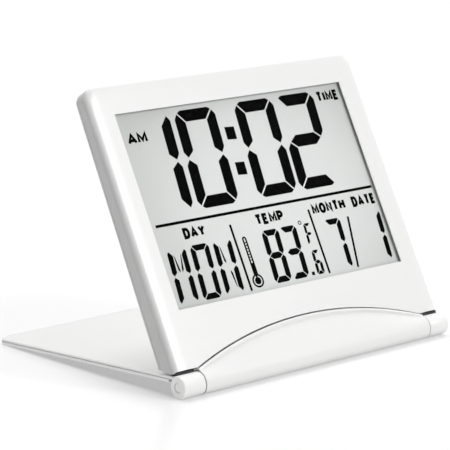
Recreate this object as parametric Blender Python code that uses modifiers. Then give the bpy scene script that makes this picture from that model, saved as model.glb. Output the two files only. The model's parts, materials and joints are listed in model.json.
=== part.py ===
"""Folding travel alarm clock: a thin liquid-crystal clock body hinged to the cover that it leans on.

Three frames place every piece, each an empty:
  stand_frame  on the hinge axis, Y along the cover away from the hinge, Z square to the cover
  clock_frame  on the hinge axis, Y up the clock's face, Z out of the face
  rear_frame   on the clock's back, Y up the back, Z into the clock
All lengths are in metres. X runs along the hinge, +Y is behind the clock and +Z is up.
"""

import math

import bmesh
import bpy
from mathutils import Vector

MM = 0.001

# ---------------------------------------------------------------- driving sizes
WIDTH = 114.0 * MM  # clock body and cover alike
FACE_LEAN = math.radians(26.74)  # the face leans back this far from upright

# hinge
BARREL_RADIUS = 3.7 * MM
KNUCKLE_LENGTH = 8.6 * MM  # each outer knuckle, measured to the middle of the ring joint
RING_GAP = 0.3 * MM  # ring joint between the barrel and a knuckle
KNUCKLE_EDGE = 0.45 * MM
PIN_RADIUS = 1.55 * MM
PIN_LENGTH = 15.0 * MM
PIN_INSET = 0.15 * MM  # the pin's end sits this far inside the knuckle's end
PIN_CLEARANCE = 0.1 * MM
WASHER_RADIUS = 2.7 * MM
WASHER_THICKNESS = 0.5 * MM
SLOT = 0.77 * MM  # air between the knuckles and the foot of the clock body

# cover, which is the stand
COVER_LENGTH = 100.0 * MM  # from the hinge axis to the far edge
COVER_INSIDE = 1.3 * MM  # the inner panel's underside, above the hinge axis
PANEL_THICKNESS = 0.9 * MM
SKIN_THICKNESS = 0.9 * MM
LAYER_GAP = 0.2 * MM  # parting line between the two layers
COVER_CORNER = 3.5 * MM
COVER_EDGE = 0.5 * MM
NOTCH_CLEARANCE = 0.25 * MM

# clock body
FACE_OFFSET = 1.1 * MM  # the face lies this far in front of the hinge axis
FACE_TOP = 99.2 * MM  # the body's top, from the hinge axis up the face
DEPTH_TOP = 5.9 * MM
DEPTH_FOOT = 8.05 * MM
BODY_CORNER = 4.0 * MM
BODY_EDGE = 0.9 * MM
FRONT_WALL = 1.0 * MM
SIDE_WALL = 1.2 * MM
LID_THICKNESS = 1.2 * MM
LID_EDGE = 0.5 * MM
PARTING_GAP = 0.15 * MM

# arched front cover of the hinge
ARCH_RISE = 9.05 * MM  # from the seam's ends to its crown
SEAM_GAP = 0.4 * MM
CRESCENT_RISE = 0.5 * MM  # its edge stands proud of the face
CRESCENT_BULGE = math.radians(10.0)
CRESCENT_BACK = 2.2 * MM  # its rear face, behind the hinge axis
CRESCENT_CHAMFER = 0.3 * MM  # along the top of its rear face
CRESCENT_POINTS = 6  # of its front curve
CRESCENT_HEEL = (0.4, -0.9)  # where its rear leaves the barrel, in barrel radii
CRESCENT_INSIDE = -0.8  # how far in the loft's ring turns back, in barrel radii
CRESCENT_STATIONS = 24

# display
SCREEN_WIDTH = 96.0 * MM
SCREEN_HEIGHT = 65.8 * MM
SCREEN_FOOT = 23.5 * MM  # its lower edge, up the face
SCREEN_LIP = 0.35 * MM
LENS_MARGIN = 1.2 * MM
LENS_THICKNESS = 0.5 * MM
GLASS_MARGIN = 2.0 * MM
GLASS_LEDGE = 2.5 * MM  # contact ledge below the display
GLASS_THICKNESS = 1.2 * MM
REFLECTOR_THICKNESS = 0.2 * MM
CARRIER_WALL = 0.95 * MM
STACK_GAP = 0.15 * MM
FIT_GAP = 0.25 * MM

# board and what is on it
BOARD_INSET = 4.0 * MM  # each side, from the display glass
BOARD_HEIGHT = 42.5 * MM
BOARD_THICKNESS = 0.8 * MM
BOARD_SPACE = 1.25 * MM  # between the reflector film and the board
STRIP_INSET = 2.0 * MM  # each side, from the board
STRIP_DEPTH = 1.8 * MM
CHIP_RADIUS = 4.5 * MM
CHIP_HEIGHT = 0.8 * MM
CHIP_PLACE = (-10.0 * MM, 34.0 * MM)
CRYSTAL_RADIUS = 1.0 * MM
CRYSTAL_LENGTH = 6.0 * MM
CRYSTAL_INSET = 10.0 * MM  # from the board's left side
SENSOR_RADIUS = 0.45 * MM
SENSOR_LENGTH = 2.2 * MM
SENSOR_INSET = 4.0 * MM  # from the board's left side
SENSOR_Y = 45.0 * MM
BUZZER_RADIUS = 7.0 * MM
BUZZER_THICKNESS = 0.25 * MM

# battery, a 20 mm by 2.5 mm button cell
CELL_RADIUS = 10.0 * MM
CELL_THICKNESS = 2.5 * MM
CELL_EDGE = 0.4 * MM
CELL_X = 26.0 * MM
CONTACT_THICKNESS = 0.2 * MM
CONTACT_WIDTH = 6.0 * MM
DOOR_MARGIN = 0.6 * MM  # of the door's plug round the cell
DOOR_LEDGE = 1.2 * MM
DOOR_RIM = 0.5 * MM
DOOR_SPACING = 4.5 * MM  # from the row of buttons
DOOR_DEPTH = 1.3 * MM
LUG_REACH = 1.6 * MM
LUG_THICKNESS = 0.45 * MM
LUG_WIDTH = 6.0 * MM
DOOR_TURN = math.radians(45)  # from shut to where the lugs meet their notches
COIN_SLOT = (13.0 * MM, 1.6 * MM, 0.35 * MM)
CELL_HOLE_GAP = 1.0 * MM  # between the cell and the hole in the board

# push buttons
BUTTON_COUNT = 5
BUTTON_PITCH = 14.0 * MM
BUTTON_Y = 14.6 * MM  # up the back
BUTTON_RADIUS = 2.6 * MM
BUTTON_PROUD = 0.9 * MM
BUTTON_EDGE = 0.3 * MM
BUTTON_TRAVEL = 0.6 * MM
FLANGE_WIDTH = 0.8 * MM
FLANGE_THICKNESS = 0.4 * MM
MEMBRANE_THICKNESS = 0.25 * MM
MEMBRANE_CORNER = 1.5 * MM
DOME_RADIUS = 1.6 * MM

# fasteners and bosses
SCREW_HEAD_RADIUS = 1.5 * MM
SCREW_HEAD_HEIGHT = 0.7 * MM
SCREW_RADIUS = 0.7 * MM
SCREW_LENGTH = 4.0 * MM
HINGE_SCREW_LENGTH = 7.0 * MM
BOARD_SCREW_LENGTH = 2.6 * MM
SCREW_CLEARANCE = 0.3 * MM
BOSS_RADIUS = 1.7 * MM
CORNER_SCREW_INSET = 3.8 * MM  # from the body's sides and top
CORNER_SCREW_LOW = 8.1 * MM  # up the back
HINGE_SCREW_X = 12.0 * MM
HINGE_SCREW_Y = 6.8 * MM
BOARD_SCREW_INSET = 2.5 * MM  # from the board's sides and foot

# openings in the lid
SOUND_X = -28.0 * MM
SOUND_Y = 42.0 * MM
SOUND_SLOTS = 3
SOUND_PITCH = 2.6 * MM
SOUND_SLOT = (8.0 * MM, 1.1 * MM)
VENT_INSET = 9.5 * MM  # from the body's left side
STOP_RIB = (5.0 * MM, 3.0 * MM)  # width and length
STOP_GAP = 0.3 * MM  # left between a rib and the cover
STOP_RIB_INSET = 4.5 * MM  # from the body's sides
STOP_RIB_S = 6.5 * MM

ROUND_SEGMENTS = 32
BARREL_SEGMENTS = 48
HOLE_SEGMENTS = 24
SCREW_SEGMENTS = 16
OVERCUT = 2.0 * MM  # how far a cutter runs past what it cuts
EPS = 1e-6
SUNK = 0.994  # share of the barrel's radius at which the loft's curve ends, inside its facets

# ---------------------------------------------------------------- worked-out sizes
HALF_WIDTH = WIDTH / 2
JOINT_X = HALF_WIDTH - KNUCKLE_LENGTH
BARREL_HALF = JOINT_X - RING_GAP / 2
KNUCKLE_INNER = JOINT_X + RING_GAP / 2
PIN_HOLE = PIN_RADIUS + PIN_CLEARANCE
SKIN_BOTTOM = COVER_INSIDE + PANEL_THICKNESS + LAYER_GAP
COVER_TOP = SKIN_BOTTOM + SKIN_THICKNESS

# the far lower edge of the cover touches the table that the barrel stands on
COVER_SLOPE = math.asin(BARREL_RADIUS / math.hypot(COVER_LENGTH, COVER_INSIDE)) + math.atan(
    COVER_INSIDE / COVER_LENGTH
)
FRONT_Y = -BARREL_RADIUS
BACK_Y = COVER_LENGTH * math.cos(COVER_SLOPE) + (COVER_TOP - COVER_EDGE) * math.sin(COVER_SLOPE)
HINGE = Vector((0.0, -(FRONT_Y + BACK_Y) / 2, BARREL_RADIUS))

# the foot of the body is cut parallel to the cover, just above the knuckles
COVER_TO_FACE = FACE_LEAN - COVER_SLOPE
FOOT_NORMAL = Vector((0.0, math.cos(COVER_TO_FACE), math.sin(COVER_TO_FACE)))
FOOT_HEIGHT = BARREL_RADIUS + SLOT
FACE_FOOT = (FOOT_HEIGHT - FACE_OFFSET * math.sin(COVER_TO_FACE)) / math.cos(COVER_TO_FACE)
REAR_TILT = math.atan((DEPTH_FOOT - DEPTH_TOP) / (FACE_TOP - FACE_FOOT))
REAR_ORIGIN = Vector((0.0, FACE_FOOT, FACE_OFFSET - DEPTH_FOOT))
REAR_NORMAL = Vector((0.0, -math.sin(REAR_TILT), math.cos(REAR_TILT)))

ARCH_FOOT = FACE_FOOT - 0.05 * MM
ARCH_CROWN = ARCH_FOOT + ARCH_RISE
ARCH_RADIUS = (JOINT_X**2 + ARCH_RISE**2) / (2 * ARCH_RISE)
CRESCENT_EDGE = FACE_OFFSET + CRESCENT_RISE

SCREEN_MIDDLE = SCREEN_FOOT + SCREEN_HEIGHT / 2
LENS_FRONT = FACE_OFFSET - SCREEN_LIP - STACK_GAP
GLASS_FRONT = LENS_FRONT - LENS_THICKNESS - STACK_GAP
GLASS_BACK = GLASS_FRONT - GLASS_THICKNESS
GLASS_WIDTH = SCREEN_WIDTH + 2 * GLASS_MARGIN
GLASS_LOW = SCREEN_FOOT - GLASS_LEDGE
GLASS_HIGH = SCREEN_FOOT + SCREEN_HEIGHT + GLASS_MARGIN
GLASS_HEIGHT = GLASS_HIGH - GLASS_LOW
GLASS_MIDDLE = (GLASS_LOW + GLASS_HIGH) / 2
REFLECTOR_FRONT = GLASS_BACK - STACK_GAP
REFLECTOR_BACK = REFLECTOR_FRONT - REFLECTOR_THICKNESS
BOARD_FRONT = BOARD_SPACE - REFLECTOR_BACK  # behind the hinge axis
BOARD_BACK = -BOARD_FRONT - BOARD_THICKNESS
BOARD_WIDTH = GLASS_WIDTH - 2 * BOARD_INSET
BOARD_LEFT = -BOARD_WIDTH / 2
BOARD_SCREW_Y = GLASS_LOW - 2 * FIT_GAP - CARRIER_WALL - BOSS_RADIUS
BOARD_FOOT = BOARD_SCREW_Y - BOARD_SCREW_INSET
STRIP_WIDTH = BOARD_WIDTH - 2 * STRIP_INSET
CELL_FRONT = CONTACT_THICKNESS + FIT_GAP - REFLECTOR_BACK  # behind the hinge axis
CELL_BACK = -CELL_FRONT - CELL_THICKNESS
DOOR_PLUG = CELL_RADIUS + DOOR_MARGIN
DOOR_RADIUS = DOOR_PLUG + DOOR_LEDGE
CELL_Y = BUTTON_Y + BUTTON_RADIUS + DOOR_SPACING + DOOR_RADIUS  # up the back
FLANGE_RADIUS = BUTTON_RADIUS + FLANGE_WIDTH
BUTTON_X = [(i - (BUTTON_COUNT - 1) / 2) * BUTTON_PITCH for i in range(BUTTON_COUNT)]
CORNER_SCREW_HIGH = FACE_TOP - FACE_FOOT - CORNER_SCREW_INSET
CORNER_SCREWS = [
    (side * (HALF_WIDTH - CORNER_SCREW_INSET), y)
    for y in (CORNER_SCREW_LOW, CORNER_SCREW_HIGH)
    for side in (-1, 1)
]
HINGE_SCREWS = [(side * HINGE_SCREW_X, HINGE_SCREW_Y) for side in (-1, 1)]
BOARD_SCREWS = [(side * (BOARD_WIDTH / 2 - BOARD_SCREW_INSET), BOARD_SCREW_Y) for side in (-1, 1)]

FINISHES = {  # colour, roughness, metallic
    "white_plastic": ((0.86, 0.86, 0.85), 0.38, 0.0),
    "clear_plastic": ((0.92, 0.94, 0.94), 0.05, 0.0),
    "display_glass": ((0.55, 0.56, 0.54), 0.2, 0.0),
    "reflector_film": ((0.62, 0.63, 0.61), 0.45, 0.2),
    "grey_plastic": ((0.35, 0.36, 0.37), 0.5, 0.0),
    "grey_rubber": ((0.22, 0.22, 0.23), 0.75, 0.0),
    "green_board": ((0.03, 0.16, 0.07), 0.4, 0.0),
    "black_resin": ((0.02, 0.02, 0.02), 0.3, 0.0),
    "steel": ((0.6, 0.6, 0.6), 0.3, 1.0),
    "brass": ((0.75, 0.55, 0.25), 0.35, 1.0),
}


# ---------------------------------------------------------------- scene helpers
def clear_scene():
    """Remove the objects that a new file starts with."""
    for obj in list(bpy.data.objects):
        bpy.data.objects.remove(obj, do_unlink=True)


def new_collection(name):
    """Return a new collection linked to the scene."""
    collection = bpy.data.collections.new(name)
    bpy.context.scene.collection.children.link(collection)
    return collection


def finish_material(name):
    """Return the material of a named finish, made on its first use."""
    material = bpy.data.materials.get(name)
    if material is None:
        colour, roughness, metallic = FINISHES[name]
        material = bpy.data.materials.new(name)
        material.use_nodes = True
        shader = material.node_tree.nodes["Principled BSDF"]
        shader.inputs["Base Color"].default_value = (*colour, 1.0)
        shader.inputs["Roughness"].default_value = roughness
        shader.inputs["Metallic"].default_value = metallic
    return material


def add_frame(name, location, tilt, parent=None):
    """Return an empty turned by tilt about X."""
    frame = bpy.data.objects.new(name, None)
    PARTS.objects.link(frame)
    frame.parent = parent
    frame.location = location
    frame.rotation_euler = (tilt, 0.0, 0.0)
    return frame


def to_mesh(bm, name):
    """Turn a bmesh into a smooth-shaded mesh with sharp corners kept."""
    mesh = bpy.data.meshes.new(name)
    bm.to_mesh(mesh)
    bm.free()
    mesh.shade_smooth()
    mesh.set_sharp_from_angle(angle=math.radians(32))
    return mesh


def add_piece(name, bm, finish, parent, location=(0, 0, 0), rotation=(0, 0, 0)):
    """Link a bmesh as a named part in one of the frames."""
    piece = bpy.data.objects.new(name, to_mesh(bm, name))
    piece.data.materials.append(finish_material(finish))
    PARTS.objects.link(piece)
    piece.parent = parent
    piece.location = location
    piece.rotation_euler = rotation
    return piece


def add_tool(name, bm, parent, location=(0, 0, 0), rotation=(0, 0, 0)):
    """Link a bmesh as a hidden shape for the Boolean modifiers."""
    tool = bpy.data.objects.new(name, to_mesh(bm, name))
    TOOLS.objects.link(tool)
    tool.parent = parent
    tool.location = location
    tool.rotation_euler = rotation
    tool.hide_render = True
    tool.display_type = "WIRE"
    return tool


def combine(piece, operation, *tools):
    """Cut or join tools on a piece, in order."""
    for tool in tools:
        modifier = piece.modifiers.new(f"{operation.lower()}_{tool.name}", "BOOLEAN")
        modifier.operation = operation
        modifier.object = tool
        modifier.solver = "EXACT"
    return piece


# ---------------------------------------------------------------- shape helpers
def bevel_edges(bm, edges, radius, segments):
    """Round the given edges."""
    bmesh.ops.bevel(
        bm, geom=edges, offset=radius, segments=segments, profile=0.5, affect="EDGES", material=-1
    )


def box(size, corner=0.0, high_corners_only=False, rim=0.0):
    """Box round the origin, its upright edges rounded by corner and its top rim by rim."""
    bm = bmesh.new()
    bmesh.ops.create_cube(bm, size=1.0)
    bmesh.ops.scale(bm, vec=Vector(size), verts=bm.verts)
    if corner > 0:
        upright = [
            edge
            for edge in bm.edges
            if abs(edge.verts[0].co.z - edge.verts[1].co.z) > EPS
            and (edge.verts[0].co.y > 0 or not high_corners_only)
        ]
        bevel_edges(bm, upright, corner, 6)
    if rim > 0:
        top = [e for e in bm.edges if all(v.co.z > size[2] / 2 - EPS for v in e.verts)]
        bevel_edges(bm, top, rim, 3)
    return bm


def rod(radius, length, segments=ROUND_SEGMENTS, edge=0.0):
    """Cylinder along Z round the origin, its two rims rounded by edge."""
    bm = bmesh.new()
    bmesh.ops.create_cone(
        bm, cap_ends=True, segments=segments, radius1=radius, radius2=radius, depth=length
    )
    if edge > 0:
        rims = [e for e in bm.edges if abs(e.verts[0].co.z - e.verts[1].co.z) < EPS]
        bevel_edges(bm, rims, edge, 2)
    return bm


def rods(places, radius, low, high, segments=SCREW_SEGMENTS):
    """Several cylinders along Z at (x, y) places, between two heights."""
    bm = bmesh.new()
    for x, y in places:
        made = bmesh.ops.create_cone(
            bm,
            cap_ends=True,
            segments=segments,
            radius1=radius,
            radius2=radius,
            depth=high - low,
        )
        bmesh.ops.translate(bm, vec=(x, y, (low + high) / 2), verts=made["verts"])
    return bm


def prism(outline, low, high):
    """Flat outline of (x, y) points, drawn anticlockwise, filled and raised from low to high."""
    bm = bmesh.new()
    corners = [bm.verts.new((x, y, low)) for x, y in outline]
    base = bm.faces.new(corners)
    raised = bmesh.ops.extrude_face_region(bm, geom=[base])["geom"]
    top = [item for item in raised if isinstance(item, bmesh.types.BMVert)]
    bmesh.ops.translate(bm, vec=(0, 0, high - low), verts=top)
    bmesh.ops.recalc_face_normals(bm, faces=bm.faces)
    return bm


def loft(sections):
    """Closed skin through rings of points, capped at both ends."""
    bm = bmesh.new()
    rings = []
    for section in sections:
        ring = [bm.verts.new(point) for point in section]
        rings.append([bm.edges.new((ring[i - 1], ring[i])) for i in range(len(ring))])
    for ring, following in zip(rings, rings[1:]):
        bmesh.ops.bridge_loops(bm, edges=ring + following)
    for ring in (rings[0], rings[-1]):
        bmesh.ops.contextual_create(bm, geom=ring)
    bmesh.ops.recalc_face_normals(bm, faces=bm.faces)
    return bm


def outline_mesh(profile, closed):
    """Edges through (radius, height) points, for a Screw modifier to turn."""
    bm = bmesh.new()
    points = [bm.verts.new((radius, 0.0, height)) for radius, height in profile]
    for first, second in zip(points, points[1:]):
        bm.edges.new((first, second))
    if closed:
        bm.edges.new((points[-1], points[0]))
    return bm


def turn(piece, steps):
    """Turn a profile about its own Z."""
    modifier = piece.modifiers.new("turn", "SCREW")
    modifier.axis = "Z"
    modifier.steps = steps
    modifier.render_steps = steps
    modifier.use_merge_vertices = True
    modifier.merge_threshold = 1e-5
    modifier.use_smooth_shade = True
    return piece


def turned_piece(
    name,
    profile,
    finish,
    parent,
    location,
    rotation=(0, 0, 0),
    closed=False,
    steps=ROUND_SEGMENTS,
):
    """A round part from a profile that runs down its outer side."""
    piece = add_piece(name, outline_mesh(profile, closed), finish, parent, location, rotation)
    return turn(piece, steps)


def slice_off(bm, point, normal):
    """Remove what lies on the normal's side of a plane, and close the cut."""
    geometry = bm.verts[:] + bm.edges[:] + bm.faces[:]
    cut = bmesh.ops.bisect_plane(
        bm, geom=geometry, dist=EPS / 10, plane_co=point, plane_no=normal, clear_outer=True
    )
    edges = [item for item in cut["geom_cut"] if isinstance(item, bmesh.types.BMEdge)]
    bmesh.ops.contextual_create(bm, geom=edges)
    return bm


# ---------------------------------------------------------------- shared outlines
def arch_height(x):
    """Height of the seam over the hinge, up the face, at x."""
    return ARCH_CROWN - ARCH_RADIUS + math.sqrt(ARCH_RADIUS**2 - x**2)


def notch_height(x):
    """Edge of the cover's notch at x, clear of the arch as it swings through."""
    swing = math.hypot(arch_height(x), CRESCENT_EDGE) + NOTCH_CLEARANCE
    return math.sqrt(swing**2 - COVER_INSIDE**2)


def arched_outline(height, half_width, low, count=CRESCENT_STATIONS):
    """Outline under a curve of heights, closed along its foot, anticlockwise."""
    across = [half_width * (1 - 2 * i / count) for i in range(count + 1)]
    return [(-half_width, low), (half_width, low)] + [
        (x, height(min(max(x, -JOINT_X), JOINT_X))) for x in across
    ]


def body_slab(inset, front, back):
    """The clock body's outline, taken in by inset, between two places along the face normal."""
    depth = front - back
    top = FACE_TOP - inset
    bm = box(
        (WIDTH - 2 * inset, top, depth),
        corner=BODY_CORNER - inset,
        high_corners_only=True,
        rim=BODY_EDGE if inset == 0 else 0.0,
    )
    bmesh.ops.translate(bm, vec=(0, top / 2, (front + back) / 2), verts=bm.verts)
    return bm


def rear_plane(depth):
    """A point of the plane at this depth inside the clock's back, in the clock's frame."""
    return REAR_ORIGIN + REAR_NORMAL * depth


def crescent_section(x):
    """Section of the arched hinge cover at x: front curve, rear face and neck."""
    height = arch_height(x) - SEAM_GAP / 2
    edge = Vector((height, CRESCENT_EDGE))
    reach = edge.length
    angle = math.atan2(edge.y, edge.x) + math.acos(BARREL_RADIUS / reach) + CRESCENT_BULGE
    tangent = Vector((math.cos(angle), math.sin(angle))) * BARREL_RADIUS * SUNK
    along = Vector((math.sin(angle), -math.cos(angle)))
    control = tangent + along * (edge - tangent).length / 2
    front = []
    for i in range(CRESCENT_POINTS + 1):
        t = i / CRESCENT_POINTS
        front.append(edge * (1 - t) ** 2 + control * 2 * t * (1 - t) + tangent * t**2)
    neck_top = (FOOT_HEIGHT + CRESCENT_BACK * FOOT_NORMAL.z) / FOOT_NORMAL.y
    neck = Vector((min(height - CRESCENT_CHAMFER, neck_top), -CRESCENT_BACK))
    shoulder = Vector((height, CRESCENT_CHAMFER - CRESCENT_BACK))
    heel = Vector(CRESCENT_HEEL) * BARREL_RADIUS
    inside = Vector((0.0, CRESCENT_INSIDE)) * BARREL_RADIUS
    core = Vector((0.0, 0.0))
    ring = front + [core, inside, heel, neck, shoulder]
    return [(x, point.x, point.y) for point in ring]


# ---------------------------------------------------------------- stand
def make_cover(stand):
    """Outer skin with the two knuckles, and the panel that lines it."""
    notch = prism(
        arched_outline(notch_height, KNUCKLE_INNER + RING_GAP / 2, -2 * BARREL_RADIUS),
        COVER_INSIDE - OVERCUT,
        COVER_TOP + OVERCUT,
    )
    notch = add_tool("notch_cutter", notch, stand)

    skin = add_piece(
        "cover_shell",
        box((WIDTH, COVER_LENGTH, SKIN_THICKNESS), COVER_CORNER, True, COVER_EDGE),
        "white_plastic",
        stand,
        (0, COVER_LENGTH / 2, SKIN_BOTTOM + SKIN_THICKNESS / 2),
    )
    combine(skin, "DIFFERENCE", notch)
    length = HALF_WIDTH - KNUCKLE_INNER
    for side, label in ((-1, "left"), (1, "right")):
        knuckle = add_tool(
            f"knuckle_{label}",
            rod(BARREL_RADIUS, length, BARREL_SEGMENTS, KNUCKLE_EDGE),
            stand,
            (side * (KNUCKLE_INNER + length / 2), 0, 0),
            (0, math.pi / 2, 0),
        )
        bore = add_tool(
            f"knuckle_bore_{label}",
            rod(PIN_HOLE, length + 2 * OVERCUT),
            stand,
            (side * (KNUCKLE_INNER + length / 2), 0, 0),
            (0, math.pi / 2, 0),
        )
        combine(skin, "UNION", knuckle)
        combine(skin, "DIFFERENCE", bore)

    start = BARREL_RADIUS + 2 * RING_GAP
    panel = add_piece(
        "cover_inner_panel",
        box((WIDTH, COVER_LENGTH - start, PANEL_THICKNESS), COVER_CORNER, True),
        "white_plastic",
        stand,
        (0, (COVER_LENGTH + start) / 2, COVER_INSIDE + PANEL_THICKNESS / 2),
    )
    combine(panel, "DIFFERENCE", notch)


def make_hinge_pins(stand):
    """A pin through each knuckle into the barrel, and a friction washer on each."""
    for side, label in ((-1, "left"), (1, "right")):
        add_piece(
            f"hinge_pin_{label}",
            rod(PIN_RADIUS, PIN_LENGTH, edge=KNUCKLE_EDGE / 3),
            "white_plastic",
            stand,
            (side * (HALF_WIDTH - PIN_INSET - PIN_LENGTH / 2), 0, 0),
            (0, math.pi / 2, 0),
        )
        bore, half = PIN_HOLE, WASHER_THICKNESS / 2
        turned_piece(
            f"friction_washer_{label}",
            [(WASHER_RADIUS, half), (WASHER_RADIUS, -half), (bore, -half), (bore, half)],
            "steel",
            stand,
            (side * (BARREL_HALF - STACK_GAP - half), 0, 0),
            (0, math.pi / 2, 0),
            closed=True,
        )


# ---------------------------------------------------------------- clock body
def make_crescent(clock, rear):
    """The barrel between the knuckles, with the arched cover that carries the clock."""
    half = BARREL_HALF - STACK_GAP / 3
    stations = [half * (2 * i / CRESCENT_STATIONS - 1) for i in range(CRESCENT_STATIONS + 1)]
    crescent = add_piece(
        "hinge_crescent", loft([crescent_section(x) for x in stations]), "white_plastic", clock
    )
    barrel = add_tool(
        "barrel",
        rod(BARREL_RADIUS, 2 * BARREL_HALF, BARREL_SEGMENTS),
        clock,
        rotation=(0, math.pi / 2, 0),
    )
    combine(crescent, "UNION", barrel)
    reach = HALF_WIDTH - PIN_INSET - PIN_LENGTH - FIT_GAP
    for side, label in ((-1, "left"), (1, "right")):
        bore = add_tool(
            f"barrel_bore_{label}",
            rod(PIN_HOLE, HALF_WIDTH - reach),
            clock,
            (side * (HALF_WIDTH + reach) / 2, 0, 0),
            (0, math.pi / 2, 0),
        )
        seat_depth = WASHER_THICKNESS + 2 * STACK_GAP
        seat = add_tool(
            f"washer_seat_{label}",
            rod(WASHER_RADIUS + FIT_GAP, seat_depth + OVERCUT),
            clock,
            (side * (BARREL_HALF + (OVERCUT - seat_depth) / 2), 0, 0),
            (0, math.pi / 2, 0),
        )
        combine(crescent, "DIFFERENCE", bore, seat)
    pilots = add_tool(
        "hinge_screw_pilots",
        rods(
            HINGE_SCREWS,
            SCREW_RADIUS + SCREW_CLEARANCE,
            LID_THICKNESS,
            SCREW_HEAD_HEIGHT + HINGE_SCREW_LENGTH + FIT_GAP,
        ),
        rear,
    )
    combine(crescent, "DIFFERENCE", pilots)


def make_bezel(clock, rear, stand):
    """Front housing: a tray with the screen opening, the arch and the screw bosses."""
    deepest = FACE_OFFSET - DEPTH_FOOT - OVERCUT
    bezel = slice_off(
        body_slab(0.0, FACE_OFFSET, deepest), FOOT_NORMAL * FOOT_HEIGHT, -FOOT_NORMAL
    )
    slice_off(bezel, rear_plane(LID_THICKNESS + PARTING_GAP), -REAR_NORMAL)
    bezel = add_piece("front_bezel", bezel, "white_plastic", clock)

    cavity = slice_off(
        body_slab(SIDE_WALL, FACE_OFFSET - FRONT_WALL, deepest - OVERCUT),
        FOOT_NORMAL * (FOOT_HEIGHT + SIDE_WALL),
        -FOOT_NORMAL,
    )
    cavity = add_tool("bezel_cavity", cavity, clock)

    boss_end = LID_THICKNESS + PARTING_GAP
    boss_top = (DEPTH_TOP - FRONT_WALL / 2, DEPTH_FOOT - FRONT_WALL / 2)
    low, high = CORNER_SCREWS[:2], CORNER_SCREWS[2:]
    low_bosses = add_tool("low_bosses", rods(low, BOSS_RADIUS, boss_end, boss_top[1]), rear)
    high_bosses = add_tool("high_bosses", rods(high, BOSS_RADIUS, boss_end, boss_top[0]), rear)
    board_bosses = add_tool(
        "board_bosses",
        rods(
            BOARD_SCREWS,
            BOSS_RADIUS,
            STACK_GAP - BOARD_FRONT,
            FACE_OFFSET - FRONT_WALL / 2,
        ),
        clock,
    )
    combine(bezel, "DIFFERENCE", cavity)
    combine(bezel, "UNION", low_bosses, high_bosses, board_bosses)

    opening = add_tool(
        "screen_cutter",
        box((SCREEN_WIDTH, SCREEN_HEIGHT, 2 * OVERCUT)),
        clock,
        (0, SCREEN_MIDDLE, FACE_OFFSET),
    )
    seat = add_tool(
        "lens_seat",
        box(
            (
                SCREEN_WIDTH + 2 * (LENS_MARGIN + FIT_GAP),
                SCREEN_HEIGHT + 2 * (LENS_MARGIN + FIT_GAP),
                OVERCUT,
            )
        ),
        clock,
        (0, SCREEN_MIDDLE, FACE_OFFSET - SCREEN_LIP - OVERCUT / 2),
    )
    arch = add_tool(
        "arch_cutter",
        prism(
            arched_outline(lambda x: arch_height(x) + SEAM_GAP / 2, JOINT_X, -BARREL_RADIUS),
            -CRESCENT_BACK - FIT_GAP,
            FACE_OFFSET + OVERCUT,
        ),
        clock,
    )
    corner_pilots = add_tool(
        "corner_pilots",
        rods(
            CORNER_SCREWS,
            SCREW_RADIUS + SCREW_CLEARANCE,
            boss_end - OVERCUT,
            SCREW_HEAD_HEIGHT + SCREW_LENGTH + FIT_GAP,
        ),
        rear,
    )
    board_pilots = add_tool(
        "board_pilots",
        rods(
            BOARD_SCREWS,
            SCREW_RADIUS + SCREW_CLEARANCE,
            -BOARD_FRONT - OVERCUT,
            BOARD_BACK - STACK_GAP + BOARD_SCREW_LENGTH + FIT_GAP,
        ),
        clock,
    )
    combine(bezel, "DIFFERENCE", opening, seat, arch, corner_pilots, board_pilots)

    width, length = STOP_RIB
    depth = FOOT_HEIGHT - COVER_TOP - STOP_GAP
    for side, label in ((-1, "left"), (1, "right")):
        rib = add_tool(
            f"stop_rib_{label}",
            box((width, length, depth + SIDE_WALL / 2)),
            stand,
            (side * (HALF_WIDTH - STOP_RIB_INSET), STOP_RIB_S, FOOT_HEIGHT + (SIDE_WALL / 2 - depth) / 2),
        )
        combine(bezel, "UNION", rib)


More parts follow.
